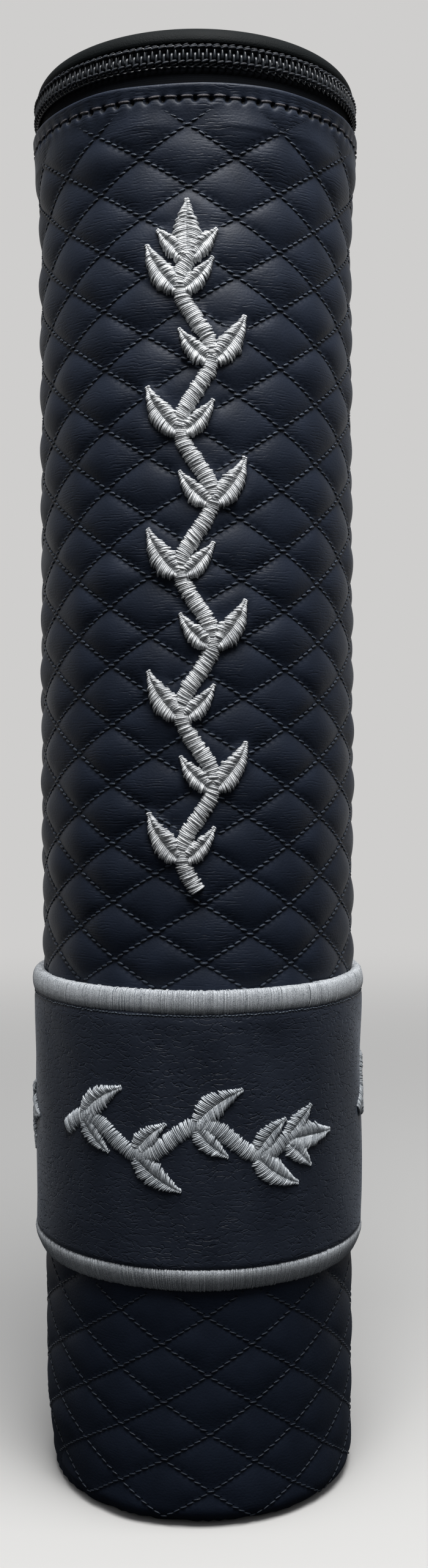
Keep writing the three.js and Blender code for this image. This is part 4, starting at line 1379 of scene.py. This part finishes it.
bridge_foot, bridge_under, bridge_crown = 37.9 * mm, 40.6 * mm, 0.8 * mm
bridge_width = 1.5 * mm
bridge_reach = slider_length / 2 - tape_gap - bridge_crown / 2
bridge_half = [
    (-bridge_reach, bridge_foot), (-bridge_reach, bridge_foot + 1.4 * mm),
    (-bridge_reach + 0.5 * mm, bridge_under), (-1.8 * mm, bridge_under + 0.45 * mm)]
bridge_line = smoothed(bridge_half + [(-along, rise) for along, rise in bridge_half[::-1]], 6)
tangent = np.array([math.cos(slider_azimuth), math.sin(slider_azimuth), 0])
away = np.array([math.sin(slider_azimuth), -math.cos(slider_azimuth), 0])
bridge_path = bridge_line[:, :1] * tangent + bridge_line[:, 1:] * away + np.array([0, 0, zip_middle])
bridge_section = circle(12) * (bridge_crown / 2, bridge_width / 2)
bridge = piece("slider_bridge", *strands(bridge_path[None], np.array([0, 0, 1.0]), bridge_section),
               plated_zinc)

inner_low, inner_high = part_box("slider_inner_wing")
inner_line = section(33.9 * mm, 34.7 * mm, inner_low.z, inner_high.z, soft_edge)
half = slider_length / 2 / wing_outer
inner_wing = cast("slider_back_wing", inner_line, slider_azimuth - half, slider_azimuth + half)
for part, node in ((outer_wing, "slider_outer_wing"), (bridge, None), (inner_wing, "slider_inner_wing")):
    fit(part, "slider", node)


# Pull
# A stamped plate 20 mm long with an eye round the bridge, a waist, and a hole in its round end.
# Its edges are rolled smooth by tumbling.
pull_length = 20 * mm
pull_half = 2.4 * mm
pull_thick = 1.0 * mm
pull_bevel = 0.22 * mm
bar_half = 0.55 * mm
eye_length, eye_half = 5 * mm, 1.2 * mm
hole_size = 1.1 * mm
pin_radius = wing_outer + 1.15 * mm
waist_shares = np.array([
    (-0.02, 0.9), (0.0, 1), (0.15, 1.0), (0.3, 0.97), (0.42, 0.78), (0.52, 0.77), (0.62, 0.84),
    (0.8, 0.98)])

lower_side = waist_shares * (pull_length, -pull_half)
end_turns = np.linspace(-math.pi / 2, math.pi / 2, 13)
end_middle = np.array([pull_length - pull_half, 0])
round_end = end_middle + pull_half * coords(np.cos(end_turns), np.sin(end_turns))
rim = np.vstack([lower_side, round_end, lower_side[::-1] * (1, -1)])
ring = circle(24)
eye = np.sign(ring) * np.abs(ring) ** 0.35 * (eye_length / 2, eye_half) + (bar_half + eye_length / 2, 0)
plate = bpy.data.curves.new("pull_plate", "CURVE")
plate.dimensions = "2D"
plate.fill_mode = "BOTH"
plate.extrude = pull_thick / 2 - pull_bevel
plate.bevel_depth = pull_bevel
plate.bevel_resolution = 3
plate.offset = -pull_bevel
for line in (rim, eye, end_middle + hole_size * ring):
    spline = plate.splines.new("POLY")
    spline.points.add(len(line) - 1)
    spline.points.foreach_set("co", coords(line[:, 0], line[:, 1], 0, 1).ravel())
    spline.use_cyclic_u = True
flat_pull = bpy.data.objects.new("flat_pull", plate)
pull_mesh = bpy.data.meshes.new_from_object(flat_pull)
bpy.data.objects.remove(flat_pull)
hung = np.array([[tangent[0], 0, away[0]], [tangent[1], 0, away[1]], [0, 1, 0]])
flat_points = np.zeros(len(pull_mesh.vertices) * 3)
pull_mesh.vertices.foreach_get("co", flat_points)
hung_points = flat_points.reshape(-1, 3) @ hung.T + pin_radius * away + np.array([0, 0, zip_middle])
pull_mesh.vertices.foreach_set("co", hung_points.ravel())
pull_mesh.flip_normals()
pull_mesh.materials.clear()
pull_mesh.materials.append(plated_zinc)
pull = bpy.data.objects.new("zip_pull_plate", pull_mesh)
bpy.context.scene.collection.objects.link(pull)
fit(pull, "puller", "zip_pull")
